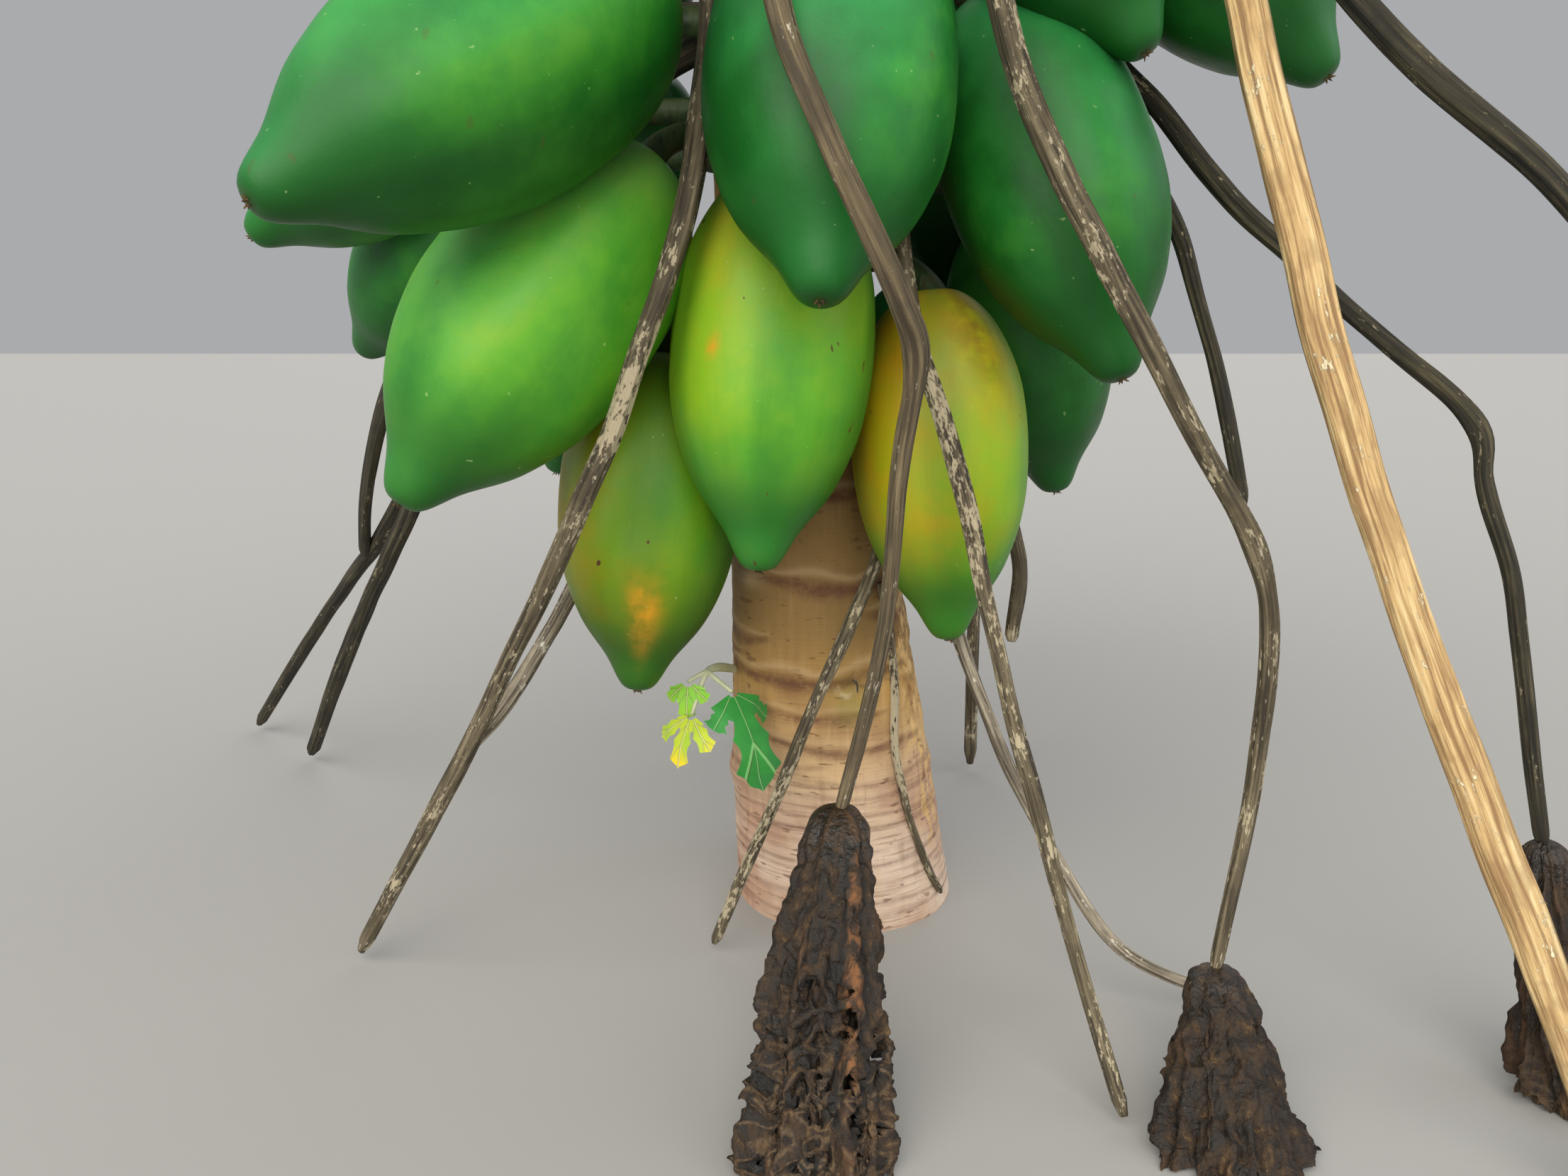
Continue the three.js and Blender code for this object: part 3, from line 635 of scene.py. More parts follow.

# %% [markdown]
# ## The bark's finish
# The skin is thin and smooth, tan higher up and a dusty pinkish brown towards the ground. Leaf
# scars are reddish brown with a paler lip above. Fine upright streaks and short dark dashes lie
# between them, and one side peels in ochre flakes. The marks on the mesh say where the scars are.
# The streaks and dashes come from noise that is stretched upright or crosswise. Higher up, under the
# fruits, the bark is darkened with painted shade.

# %% Bark finish
bark_paint, wire, shader = new_paint("bark", 0.8)
height, peel, here = wire.mark("height"), wire.mark("peel"), wire.place()
streaks = wire.noise(wire.place((1, 1, 0.12)), 160, 4)
wide_tone = wire.noise(here, 16, 3)
dashes = wire.noise(wire.place((1, 1, 3.4)), 62, 2, 0.5)
rings = wire.noise(wire.place((0.5, 0.5, 14)), 30, 3, 0.6)
flakes = wire.noise(wire.place((1, 1, 0.35)), 120, 4, 0.65)
grit = wire.noise(here, 700, 3)
foot_share = wire.between(wire.plus(height, wire.times(wide_tone, 0.08)), 0.24, 0.1)
mottling = wire.between(wide_tone, 0.35, 0.68)
scar_tone = wire.between(wire.noise(here, 110, 4, 0.65), 0.3, 0.6, 0.45, 1.0)
dash_share = wire.times(wire.between(dashes, 0.635, 0.7), 0.6)
skin = wire.layers(
    wire.blend(foot_share, wire.blend(mottling, "a88148", "c49a55"),
               wire.blend(mottling, "bf9880", "e2cab4")),
    (wire.between(streaks, 0.5, 0.75), 0.35, "d9b784"),
    (wire.between(streaks, 0.48, 0.25), 0.35, "8f6a41"),
    (wire.between(rings, 0.54, 0.68), wire.times_plus(foot_share, 0.4, 0.16), "80523e"),
    # painted shade: the bark above about 0.2 m, under the fruits, is darkened
    (wire.between(height, 0.17, 0.25), wire.between(wide_tone, 0.3, 0.6, 0.5, 0.8), "735a31"),
    (wire.between(height, 0.75, 1.4), 0.75, "8f9a5c"),
    (peel, wire.between(flakes, 0.45, 0.6), "dcb476"),
    (peel, wire.between(flakes, 0.42, 0.3), "8d5b35"),
    (dash_share, None, "6b4426"),
    (wire.mark("lip"), 0.28, "dcbf94"),
    (wire.times(wire.mark("band"), scar_tone), 0.9, "5f3824"),
    (wire.mark("stain"), 0.45, "8a8a3c"),
    (wire.mark("bud"), wire.between(flakes, 0.35, 0.6, 0.1, 0.7), "dccba0"),
    (wire.mark("lump"), 0.6, "c6aa80"),
)
relief = wire.times_plus(grit, 0.16, wire.times_plus(streaks, 0.5, wire.times(rings, 0.7)))
relief = wire.math("SUBTRACT", relief, wire.times(dash_share, 0.5))
dress(wire, shader, skin, wire.between(grit, 0.3, 0.7, 0.7, 0.88), relief, 0.0011)

grow_piece("trunk_bark", [(bark_skin, 0), (trunk_tip_part(), 0)], [bark_paint], "bark", "trunk")
print("trunk bark", fresh(), "triangles,", len(bark_paint.node_tree.nodes), "nodes in its finish")

# %% [markdown]
# ## The fruits' shape
# A papaya hangs on a short thick stem. It is a pointed oval with five soft ridges, fullest a
# little nearer the stem, and it narrows to a blunt nipple that keeps a few dried bits of the
# flower. The source turns a plain outline, and the fine skin follows the same outline as a smooth
# line, with the ridges, slight lumps and a tip of its own.

# %% Outline and places
FRUIT_OUTLINE = ((0, 0), (0.015, 0.34), (0.1, 0.68), (0.26, 0.94), (0.45, 1), (0.62, 0.93), (0.78, 0.7),
                 (0.9, 0.37), (0.985, 0.17), (1, 0))
YOUNG_OUTLINE = ((0, 0), (0.03, 0.4), (0.25, 0.93), (0.5, 1), (0.75, 0.66), (0.92, 0.27), (1, 0))
FRUIT_RIDGES, RIDGE_RISE = 5, 0.025
STEM_RADIUS, STEM_RISE = 0.009, 0.018
FLOWER_REST, YOUNG_REST = 0.0034, 0.0026


def smooth_outline(outline, count):
    """A rounded line through an outline, as shares along and shares of half the breadth."""
    knots = np.array([(along, half, 0) for along, half in outline], float)
    line = spline(knots * (1, 0.5, 1), count) * (1, 2, 1)
    return np.clip(line[:, 0], 0, 1), np.clip(line[:, 1], 0, 1.02)


along_line, half_line = smooth_outline(FRUIT_OUTLINE, 110)
print("smooth outline, fullest at", round(float(along_line[half_line.argmax()]), 3), "of its length")

# %% One fruit's skin
def axis_frame(axis):
    """Two directions across an axis, the same way that the source turns its fruits."""
    turned = Vector((0, 1, 0)).rotation_difference(Vector(axis))
    return np.array(turned @ Vector((0, 0, 1))), np.array(turned @ Vector((1, 0, 0)))


def fruit_part(start, axis, length, breadth, seed, outline=FRUIT_OUTLINE, rows=84, sides=60):
    """A fruit's skin from its stem end, with how far along, how far round and how ridged."""
    along, half = smooth_outline(outline, rows)
    turn = turns(sides)
    ridge = np.cos(FRUIT_RIDGES * turn)[None] * (1 - ease(0.72, 0.96, along))[:, None]
    radius = half[:, None] * breadth / 2 * (1 + RIDGE_RISE * 1.15 * (0.5 * (ridge + 1) ** 1.4 - 1))
    middle = (start + axis * (along * length)[:, None])[:, None]
    ring = ring_round(*axis_frame(axis), turn)
    points = middle + ring * radius[..., None]
    lumps = ripple(points, breadth * 0.9, seed, 2) * 0.012
    lumps = lumps + ripple(points, breadth * 0.22, seed + 1, 2) * 0.0022
    points = middle + ring * (radius * (1 + lumps * bump_at(along, 0.6, 0.35)[:, None]))[..., None]
    marks = {
        "along": filled(along[:, None], ridge.shape), "round": filled(turn / (2 * math.pi), ridge.shape),
        "ridge": (0.5 + 0.5 * ridge).ravel(),
        "tip": 0.85 * bump_at(np.linalg.norm(points - (start + axis * length), axis=-1), 0, 0.0042).ravel(),
    }
    return points.reshape(-1, 3), grid_faces(rows, sides), marks


def flower_rest_part(tip, axis, size, seed):
    """The dried bits of the flower on a fruit's tip: a few short curled points."""
    dice = np.random.default_rng(seed)
    across, beside = axis_frame(axis)
    parts = []
    for i in range(FRUIT_RIDGES):
        turn = 2 * math.pi * i / FRUIT_RIDGES + dice.uniform(-0.3, 0.3)
        out = across * math.cos(turn) + beside * math.sin(turn)
        root = tip - axis * size * 0.35 + out * size * 0.5
        end = root + out * size * dice.uniform(0.2, 0.7) + axis * size * dice.uniform(0.4, 1.0)
        path = bow(root, root + axis * size * 0.5, end, 5)
        parts.append(tube(path, plain_radii(size * 0.26, size * 0.07, 5, 6)))
    return joined(parts)


print("one fruit skin", len(fruit_part(np.zeros(3), heading(0, 80), 0.25, 0.13, 1)[1]), "quads")

# %% Where each fruit hangs and how ripe it is
# Each fruit: its stem's bearing, reach and height, its axis's bearing and dip, its length and breadth.
# Then how ripe it is: all over, more at the stem end, on the ridges, and on the side of a bearing.
# Then how much painted shade darkens its skin, for a fruit that hangs in the shade of others.
FRONT_FRUITS = {
    "fruit_low_front": ((-90, 49, 543, -113, 80, 248, 128), (0.41, 0.22, 0.045, 0.1, -165), 0.15),
    "fruit_low_left": ((-151, 52, 431, -115, 80, 232, 126), (0.58, 0.06, 0.04, 0.2, 170), 0.85),
    "fruit_low_right": ((-40, 64, 472, -51, 84, 232, 118), (0.585, 0.17, 0.03, 0.15, -160), 0.3),
    "fruit_mid_front": ((-68, 66, 681, -96, 59, 256, 142), (0.08, 0.0, 0.03, 0.1, -10), 0),
    "fruit_mid_left": ((-134, 69, 549, -148, 50, 264, 142), (0.34, 0.16, 0.03, 0.06, -160), 0),
    "fruit_mid_right": ((-24, 100, 645, -51, 63, 255, 130), (0.06, 0.0, 0.03, 0.05, -90), 0.3),
    "fruit_high_left": ((-118, 95, 638, -137, 29, 272, 136), (0.17, 0.04, 0.03, 0.04, -90), 0.3),
    "fruit_high_right": ((-24, 92, 785, -38, 56, 224, 124), (0.08, 0.0, 0.03, 0.03, -90), 0),
    "fruit_outer_right": ((-1, 165, 772, -33, 48, 240, 124), (0.03, 0.0, 0.03, 0.03, -90), 0),
    "fruit_low_far_right": ((11, 110, 530, -9, 77, 210, 118), (0.08, 0.1, 0.03, 0.05, -60), 0.35),
    "fruit_mid_far_left": ((170, 140, 573, 156, 42, 219, 112), (0.12, 0.0, 0.03, 0.05, -120), 0.2),
    "fruit_low_far_left": ((157, 92, 545, 161, 76, 218, 106), (0.2, 0.1, 0.05, 0.1, 180), 0.3),
    "fruit_outer_left": ((178, 138, 628, -170, 35, 212, 112), None, 0),
}
BACK_TIERS = (
    ("fruit_low_back", 480, 66, 80, 215, 106, (42, 82, 122)),
    ("fruit_mid_back", 640, 100, 62, 245, 130, (40, 85, 130)),
    ("fruit_high_back", 800, 95, 52, 235, 126, (30, 78, 124, 168)),
)
FRUITS = {**FRONT_FRUITS, **{
    f"{name}_{i + 1}": ((bearing, reach, height, bearing, dip, length, breadth), None, 0)
    for name, height, reach, dip, length, breadth, bearings in BACK_TIERS
    for i, bearing in enumerate(bearings)}}
# Ripe patches and brown rubs: share along, bearing seen from the fruit's axis, size and strength.
SPOTS = {
    "patch": {"fruit_low_left": (0.755, -84, 0.075, 1.0), "fruit_low_front": (0.47, -122, 0.018, 1.0),
              "fruit_low_right": (0.62, -100, 0.08, 0.25), "fruit_mid_left": (0.34, -170, 0.1, 0.25)},
    "rub": {"fruit_mid_left": (0.2, 150, 0.16, 0.6), "fruit_low_right": (0.12, -60, 0.12, 0.55),
            "fruit_low_left": (0.15, -40, 0.16, 0.35)},
}
RIPE_SLOTS = {"fruit_low_front": "fruit_turning", "fruit_low_left": "fruit_turning",
              "fruit_low_right": "fruit_ripe"}
print(len(FRUITS), "large fruits, of which", len(FRONT_FRUITS), "have places of their own")

# %% [markdown]
# ## The fruits' finish
# Green papayas are waxy, with a bluish bloom. It is painted on the upward faces only, where it also
# stands for painted sky light, and the undersides are darkened with painted shade.
# As they ripen the ridges turn first, to lime, then to yellow from the stem end down, while the
# tip stays green. One ramp from deep green to orange, driven by a ripeness value on the mesh,
# gives every stage. Flecks, rubs and pale specks are laid over it. All three fruit materials
# share the group.

# %% The shared fruit skin group
FRUIT_STAGES = ((0.0, "165c1e"), (0.14, "217a2a"), (0.28, "429d2e"), (0.42, "6ab52c"), (0.58, "95c026"),
                (0.74, "bfb41c"), (0.87, "dba716"), (1.0, "ec9416"))
fruit_skin, wire, given, result = new_group(
    "papaya_skin", {"Tip": "1f7d45", "Flecks": 0.5, "Bloom_and_sky_light": 0.5},
    {"Color": COLOUR, "Roughness": NUMBER, "Height": NUMBER})
here, along = wire.place(), wire.mark("along")
wide, cloudy, fine = wire.noise(here, 13, 3), wire.noise(here, 42, 4, 0.6), wire.noise(here, 420, 3)
turned = wire.times(wire.mark("round"), 2 * math.pi)
lengthwise = wire.vector(wire.math("COSINE", turned), wire.math("SINE", turned), wire.times(along, 0.55))
streaks = wire.noise(lengthwise, 6.5, 4, 0.6)
ripe = wire.plus(wire.mark("ripe"), wire.between(wide, 0.3, 0.7, -0.06, 0.06))
ripe = wire.plus(ripe, wire.between(cloudy, 0.3, 0.7, -0.035, 0.035), clamp=True)
body_share = wire.between(along, 0.9, 0.6, 0.25, 1.0)
fleck_field = wire.noise(wire.place((1, 1, 0.55)), 105, 2)
skin = wire.layers(
    wire.ramp(ripe, FRUIT_STAGES),
    (wire.between(along, 0.62, 0.9), wire.between(ripe, 1.0, 0.3, 0.6, 0.85), given["Tip"]),
    # painted shade in the valleys between the ridges
    (wire.between(wire.mark("ridge"), 0.55, 0.0), 0.18, "2f7a2c", "MULTIPLY"),
    (wire.between(streaks, 0.5, 0.75), wire.times(body_share, 0.2), "a6d66a", "SOFT_LIGHT"),
    (wire.between(streaks, 0.5, 0.25), wire.times(body_share, 0.16), "1c4f22", "SOFT_LIGHT"),
    # bluish wax bloom on the upward faces, which also serves as painted sky light there
    (wire.times(wire.mark("bloom"), given["Bloom_and_sky_light"]), wire.between(wide, 0.3, 0.7, 0.45, 1.0), "4cca80"),
    # painted shade over the whole skin of fruits that hang in shade
    (wire.mark("deep"), None, "b6bd78", "MULTIPLY"),
    # painted shade: the undersides of the fruits are darkened
    (wire.mark("under"), 0.65, "8fb07c", "MULTIPLY"),
    (wire.mark("patch"), wire.between(cloudy, 0.3, 0.6, 0.25, 1.0), "e09a1e"),
    (wire.mark("rub"), wire.between(wire.noise(here, 70, 4), 0.35, 0.6), "6f5426"),
    (wire.between(fleck_field, 0.735, 0.76), given["Flecks"], "5a3b1c"),
    (wire.mark("tip"), None, "33290f"),
    (wire.between(wire.noise(here, 190, 2), 0.73, 0.77), 0.35, "b9d98a"),
)
relief = wire.times_plus(fine, 0.15, wire.times(cloudy, 0.6))
wire.fill(result, {"Color": skin, "Roughness": wire.between(cloudy, 0.3, 0.7, 0.4, 0.52), "Height": relief})
print("papaya skin group with", len(fruit_skin.nodes), "nodes")

# %% Fruit materials
def fruit_paint(name, *look):
    made, shader = group_paint(name, fruit_skin, 0.0006, 0.45, look)
    shader.inputs["Specular IOR Level"].default_value = 0.34
    return made


FRUIT_LOOKS = {"fruit_green": ("1b6b28", 0.25, 0.5), "fruit_turning": ("238236", 1.0, 0.15),
               "fruit_ripe": ("2b8c30", 0.6, 0.1)}
FRUIT_PAINTS = {name: fruit_paint(name, *look) for name, look in FRUIT_LOOKS.items()}
rest_paint = mottled_paint("dried_flower", 0.9, (1, 300, 3), ((0.3, "2e2115"), (0.7, "7d6236")))
# The stems are painted very dark: painted shade, for stems that hang in the shadow between the fruits.
shaded_stem_paint = mottled_paint("fruit_stem_painted_shade", 0.6, (0.4, 120, 4),
                           ((0.3, "1a2a12"), (0.5, "2f451c"), (0.72, "484327")),
                           (0.3, 260, 3), 0.001)
print("fruit materials", sorted(FRUIT_PAINTS))

# %% Hang the large fruits
def outward_normals(points, faces):
    """A unit normal at each point of a closed grid skin."""
    a, b, c, d = (points[faces[:, i]] for i in range(4))
    totals = np.zeros_like(points)
    for i in range(4):
        np.add.at(totals, faces[:, i], np.cross(c - a, d - b))
    return unit(totals)


def spot(part, axis, along, bearing, size):
    """A soft round spot on a fruit's skin, 1 in its middle."""
    points, _, marks = part
    away = points - points.mean(0)
    flat = unit(heading(bearing) - axis * (heading(bearing) @ axis))
    sideways = unit(away - np.outer(away @ axis, axis))
    level = np.abs(marks["along"] - along) / (size * 1.3)
    facing = np.degrees(np.arccos(np.clip(sideways @ flat, -1, 1))) / (size * 165)
    return np.exp(-(level ** 2 + facing ** 2))


def swelling_stem(root, bend, end, radii, grid, rest, foot, neck, ribs):
    """A stem that swells at its foot and at its neck, each by a share over a stretch, with soft ribs."""
    far = np.linspace(0, 1, grid[0])[:, None]
    swell = foot[0] * bump_at(far, 0, foot[1]) + neck[0] * bump_at(far, 1, neck[1])
    swell = rest + swell + ribs[1] * np.cos(ribs[0] * turns(grid[1])[None])
    return tube(bow(root, bend, end, grid[0]), between(radii, far) * swell)


for index, (name, (place, ripeness, deep)) in enumerate(FRUITS.items()):
    bearing, reach, height, toward, dip, length, breadth = place
    reach, height, length, breadth = (value * MM for value in (reach, height, length, breadth))
    axis = heading(toward, dip)
    start = on_trunk(bearing, height, reach)
    part = fruit_part(start, axis, length, breadth, SEEDS["fruit"] + index)
    points, faces, marks = part
    base, top, ridge_share, side_share, side_bearing = ripeness or (
        0.12 + 0.1 * math.sin(index * 2.7), 0.04, 0.04, 0.05, toward)
    marks["ripe"] = (
        base + top * (1 - ease(0.05, 0.75, marks["along"])) + ridge_share * (marks["ridge"] * 2 - 1)
        + side_share * (unit(points - points.mean(0)) @ heading(side_bearing)))
    # Upward faces get the bloom with painted sky light, downward faces painted shade, and each fruit its
    # share of painted shade.
    upward = outward_normals(points, faces)[:, 2]
    marks["bloom"] = ease(0.0, 0.9, upward)
    marks["under"] = ease(0.1, -0.8, upward)
    marks["deep"] = np.full(len(points), float(deep))
    for mark, places in SPOTS.items():
        if name in places:
            *where, strength = places[name]
            marks[mark] = strength * spot(part, axis, *where)
    stem = swelling_stem(
        on_trunk(bearing, height + STEM_RISE, -ROOT_DEPTH),
        on_trunk(bearing, height + STEM_RISE * 1.6, reach * 0.75),
        start + axis * length * 0.03, (STEM_RADIUS, STEM_RADIUS), (22, 14), 0.9, (0.28, 0.16), (0.3, 0.2),
        (5, 0.06))
    rest = flower_rest_part(start + axis * length, axis, FLOWER_REST, SEEDS["flower_rest"] + index)
    slot = RIPE_SLOTS.get(name, "fruit_green")
    grow_piece(
        name + "_skin", [(part, 0), (stem, 1), (rest, 2)], [FRUIT_PAINTS[slot], shaded_stem_paint, rest_paint], slot,
        name)
print(len(FRUITS), "large fruits,", fresh(), "triangles")

# %% [markdown]
# ## Young fruits
# Above the large ones hang younger fruits, two or three on a forked stem. They are the same
# shape, smaller and all green, so they are grown by the same function with fewer points.

# %% Hang the young fruits
# Each tier: height, bearing, reach, dip, fruits on a stem, their length and breadth, and their spread.
YOUNG_TIERS = {
    "young_fruits_low": (0.945, -125, 0.052, 52, 2, 0.168, 0.09, 44),
    "young_fruits_high": (1.06, -65, 0.034, 46, 3, 0.108, 0.058, 36),
}
CLUSTERS, FORK_RADII, YOUNG_GRID = 3, (0.0075, 0.0066), (54, 40)
for tier, (height, first, reach, dip, fruits, length, breadth, spread) in YOUNG_TIERS.items():
    for cluster in range(CLUSTERS):
        bearing = first + 360 / CLUSTERS * cluster
        parts = []
        for i in range(fruits):
            off = i - (fruits - 1) / 2
            lowered = length * 0.35 if fruits > 2 and off == 0 else 0
            start = on_trunk(bearing + off * spread * 0.8, height - lowered, reach)
            axis = heading(bearing + off * spread, dip)
            seed = SEEDS["young_fruit"] + cluster * 10 + i
            body = fruit_part(start, axis, length, breadth, seed, YOUNG_OUTLINE, *YOUNG_GRID)
            body[2]["ripe"] = np.full(len(body[0]), 0.16 + 0.05 * math.sin(seed))
            # bluish bloom with painted sky light on the upward faces
            body[2]["bloom"] = ease(0, 0.9, outward_normals(body[0], body[1])[:, 2])
            root = on_trunk(bearing, height + STEM_RISE, -ROOT_DEPTH)
            bend = on_trunk(bearing + off * spread, height + STEM_RISE, reach * 0.7)
            fork = tube(bow(root, bend, start + axis * length * 0.05, 14),
                        plain_radii(*FORK_RADII, 14, 10))
            parts += [(body, 0), (fork, 1),
                      (flower_rest_part(start + axis * length, axis, YOUNG_REST, seed), 2)]
        node = f"{tier}_{cluster + 1}"
        grow_piece(
            node + "_skin", parts, [FRUIT_PAINTS["fruit_green"], shaded_stem_paint, rest_paint], "fruit_green", node)
print("young fruits", fresh(), "triangles")

# %% [markdown]
# ## Dead leaf stalks
# Old leaves die and hang, and their long stalks dry to a grey-brown skin with furrows along it
# and cream flakes where the surface lifts. They are tubes along the source's routes. The furrows
# are waves in the radius that drift as they run, the stalk pinches in and swells a little, and
# the root has a flared heel.

# %% Furrowed tubes
RING_STEP = 0.0045


def dry_radii(rows, sides, start, end, seed, furrows=7, depth=0.075, heel=0.22, knuckle=None):
    """Radii of a dried, furrowed stalk. knuckle is a kink's share along it and the radii on its sides."""
    far, turn = np.linspace(0, 1, rows)[:, None], turns(sides)[None]
    grid = on_roll(turn, 6 * far)
    drift = 0.9 * np.sin(far * 7 + seed) + 0.4 * ripple(grid, 3.0, seed)
    wave = np.cos(furrows * turn + drift * 2)
    shrink = 1 + 0.05 * np.sin(far * 23 + seed) + 0.04 * ripple(grid, 1.2, seed + 5)
    oval = 1 - 0.09 * np.cos(2 * turn + seed)
    body = start + (end - start) * far
    if knuckle is not None:
        place, above, below = knuckle
        body = np.interp(far, (0, place, place + 0.05, 1), (start, above, below, end))
        body = body * (1 + 0.16 * bump_at(far, place, 0.016) - 0.08 * bump_at(far, place + 0.03, 0.012))
    body = body * (1 - 0.45 * ease(0.986, 1, far))
    furrowed = 1 + depth * (np.abs(wave) ** 0.6 * np.sign(wave) - 0.3)
    return body * (0.93 * shrink * oval * furrowed + heel * bump_at(far, 0, 0.03))


def dry_stalk_part(path, start, end, seed, sides=28, flat=1.0, worn=(0, 0.5, 1), **more):
    rows = max(24, int(step_lengths(path).sum() / RING_STEP))
    path = even_steps(path, rows)
    wobble = ripples(path, 0.16, (seed, seed + 1, seed + 2)) * 0.0016
    fade = np.sin(np.linspace(0, math.pi, rows))[:, None]
    points, faces, marks = tube(path + wobble * fade, dry_radii(rows, sides, start, end, seed, **more), flat)
    marks["worn"] = worn[0] * bump_at(marks["far"] / marks["far"].max(), *worn[1:])
    return points, faces, marks


test_radii = dry_radii(50, 28, 0.01, 0.008, 3)
print("a dry stalk's radii run from", test_radii.min().round(4), "to", test_radii.max().round(4))

# %% Where the dead stalks run
# Each node: how many furrows run round its stalks. Then each stalk: its finish, its bearing and height
# on the trunk, its radii and its places, in millimetres.
STALKS = {
    "stalk_front": (4,
        ("dead_stalk_smooth", -88, 960, 9, 6.8, ((-66, -190, 850), (-52, -284, 605), (-27, -306, 535),
            (8, -290, 465), (19, -277, 438)))),
    "stalk_right": (7,
        ("dead_stalk_flaky", -48, 975, 10, 6.3, ((40, -170, 830), (64, -228, 612), (94, -236, 533),
            (138, -240, 458), (180, -242, 388), (216, -242, 328)))),
    "stalk_far_right": (7,
        ("dead_stalk_dark", 4, 700, 8, 5.2, ((110, -40, 664), (186, -72, 598), (232, -120, 526),
            (285, -178, 458), (338, -236, 394))),
        ("dead_stalk_dark", 4, 700, 7, 4.5, ((110, -40, 655), (196, -76, 538), (230, -108, 436),
            (252, -130, 335)))),
    "stalk_straw": (9,
        ("straw_stalk", -60, 1005, 9, 11, ((50, -180, 880), (125, -250, 735), (170, -282, 602),
            (208, -322, 447), (266, -342, 288), (332, -360, 138), (388, -372, 8)))),
    "stalk_reaching": (6,
        ("dead_stalk_dark", -55, 885, 8.5, 6, ((84, -190, 815), (262, -200, 622), (362, -250, 512),
            (452, -292, 370), (500, -312, 185), (520, -320, 8)))),
    "stalk_left": (8,
        ("dead_stalk_flaky", -108, 790, 8, 6.3, ((-92, -122, 700), (-94, -139, 614), (-101, -196, 533),
            (-136, -214, 420), (-183, -198, 320), (-258, -160, 177), (-355, -122, 8))),
        ("dead_stalk_bleached", -178, 372, 6, 5.5, ((-134, -4, 350), (-188, -36, 290), (-214, -88, 238),
            (-246, -132, 188), (-262, -158, 174)))),
    "stalk_pale": (7,
        ("dead_stalk_flaky", -62, 570, 6.3, 4.2, ((12, -112, 545), (24, -166, 480), (31, -192, 432),
            (50, -206, 372), (87, -230, 222), (119, -264, 105), (146, -304, 8)))),
    "stalk_thin": (6,
        ("dead_stalk_flaky", -30, 318, 5.5, 4.6, ((17, -90, 300), (-4, -120, 252), (-24, -130, 208),
            (-76, -118, 70), (-100, -112, 8)))),
    "stalk_low_right": (6,
        ("dead_stalk_bleached", -38, 300, 6, 4.5, ((62, -72, 262), (78, -98, 222), (106, -122, 152),
            (138, -160, 92), (180, -180, 40), (262, -196, 8)))),
    "stalks_behind_left": (7,
        ("dead_stalk_dark", 150, 650, 9, 7, ((-155, 20, 640), (-240, 76, 566), (-318, 112, 428),
            (-392, 145, 292), (-520, 260, 150), (-640, 365, 8))),
        ("dead_stalk_dark", 150, 645, 9, 7, ((-155, 8, 612), (-238, 64, 534), (-306, 94, 420),
            (-372, 106, 290), (-466, 186, 140), (-545, 272, 8))),
        ("dead_stalk_dark", 150, 655, 9, 6, ((-158, 28, 662), (-246, 86, 602), (-334, 110, 486),
            (-388, 114, 380), (-418, 137, 300), (-436, 172, 240)))),
    "stalks_back": (7,
        ("dead_stalk_flaky", 54, 905, 10, 7, ((0, 48, 888), (64, 136, 790), (111, 201, 600), (135, 233, 380),
            (142, 244, 8))),
        ("dead_stalk_dark", 54, 912, 10, 7, ((-12, 66, 925), (-8, 190, 866), (-59, 300, 640), (-85, 350, 330),
            (-88, 362, 8)))),
}
# Below its kink a broken stalk is thinner: radius there, radius at its end, and its places.
LOWER_LENGTHS = {
    "stalk_front": (6, 4.6, ((15, -262, 388), (10, -228, 275), (-15, -212, 150))),
    "stalk_right": (6, 4.8, ((231, -240, 275), (232, -238, 205), (210, -255, 66))),
    "stalk_far_right": (5.2, 4.2, ((343, -241, 366), (360, -248, 312), (388, -252, 190), (396, -256, 150))),
}
# Patches where the skin has flaked off, as strength, share along the stalk and width.
WORN_PATCHES = {
    "stalk_left": (0.62, 0.47, 0.05), "stalk_thin": (0.45, 0.8, 0.3), "stalk_pale": (0.5, 0.42, 0.16),
    "stalk_right": (0.55, 0.3, 0.12),
}
UNWORN = (0, 0.5, 1)
STRAW_FLATNESS = 0.45
print(len(STALKS), "groups of dead stalks with", sum(len(s) - 1 for s in STALKS.values()), "stalks")

# %% The shared dry skin group
dry_skin, wire, given, result = new_group(
    "dry_skin", {"Dark": "2b241d", "Mid": "6b5a48", "Light": "9a866a", "Flake": "d8cba6", "Flaking": 0.5},
    {"Color": COLOUR, "Roughness": NUMBER, "Height": NUMBER})
wrap_x, wrap_y, far = (wire.mark(name) for name in ("wrap_x", "wrap_y", "far"))
streak, patches, flake_field = (
    wire.noise(wire.vector(wrap_x, wrap_y, wire.times(far, share)), *grain)
    for share, *grain in ((0.04, 420, 4, 0.6), (0.6, 60, 3), (0.33, 430, 4, 0.66)))
flaked = wire.plus(wire.times_plus(patches, 0.7, flake_field), wire.times(wire.mark("worn"), 0.25))
flaked = wire.between(wire.times_plus(given["Flaking"], 0.12, flaked), 1.02, 1.1, 0.0, 0.8)
skin = wire.layers(
    wire.blend(wire.between(streak, 0.36, 0.56), given["Dark"], given["Mid"]),
    (wire.between(streak, 0.52, 0.7), 0.8, given["Light"]),
    (wire.between(patches, 0.5, 0.35), 0.45, given["Dark"]),
    (flaked, None, given["Flake"]),
)
rough = wire.between(streak, 0.3, 0.7, 0.72, 0.92)
wire.fill(result, {"Color": skin, "Roughness": rough, "Height": wire.times_plus(flaked, 0.35, streak)})


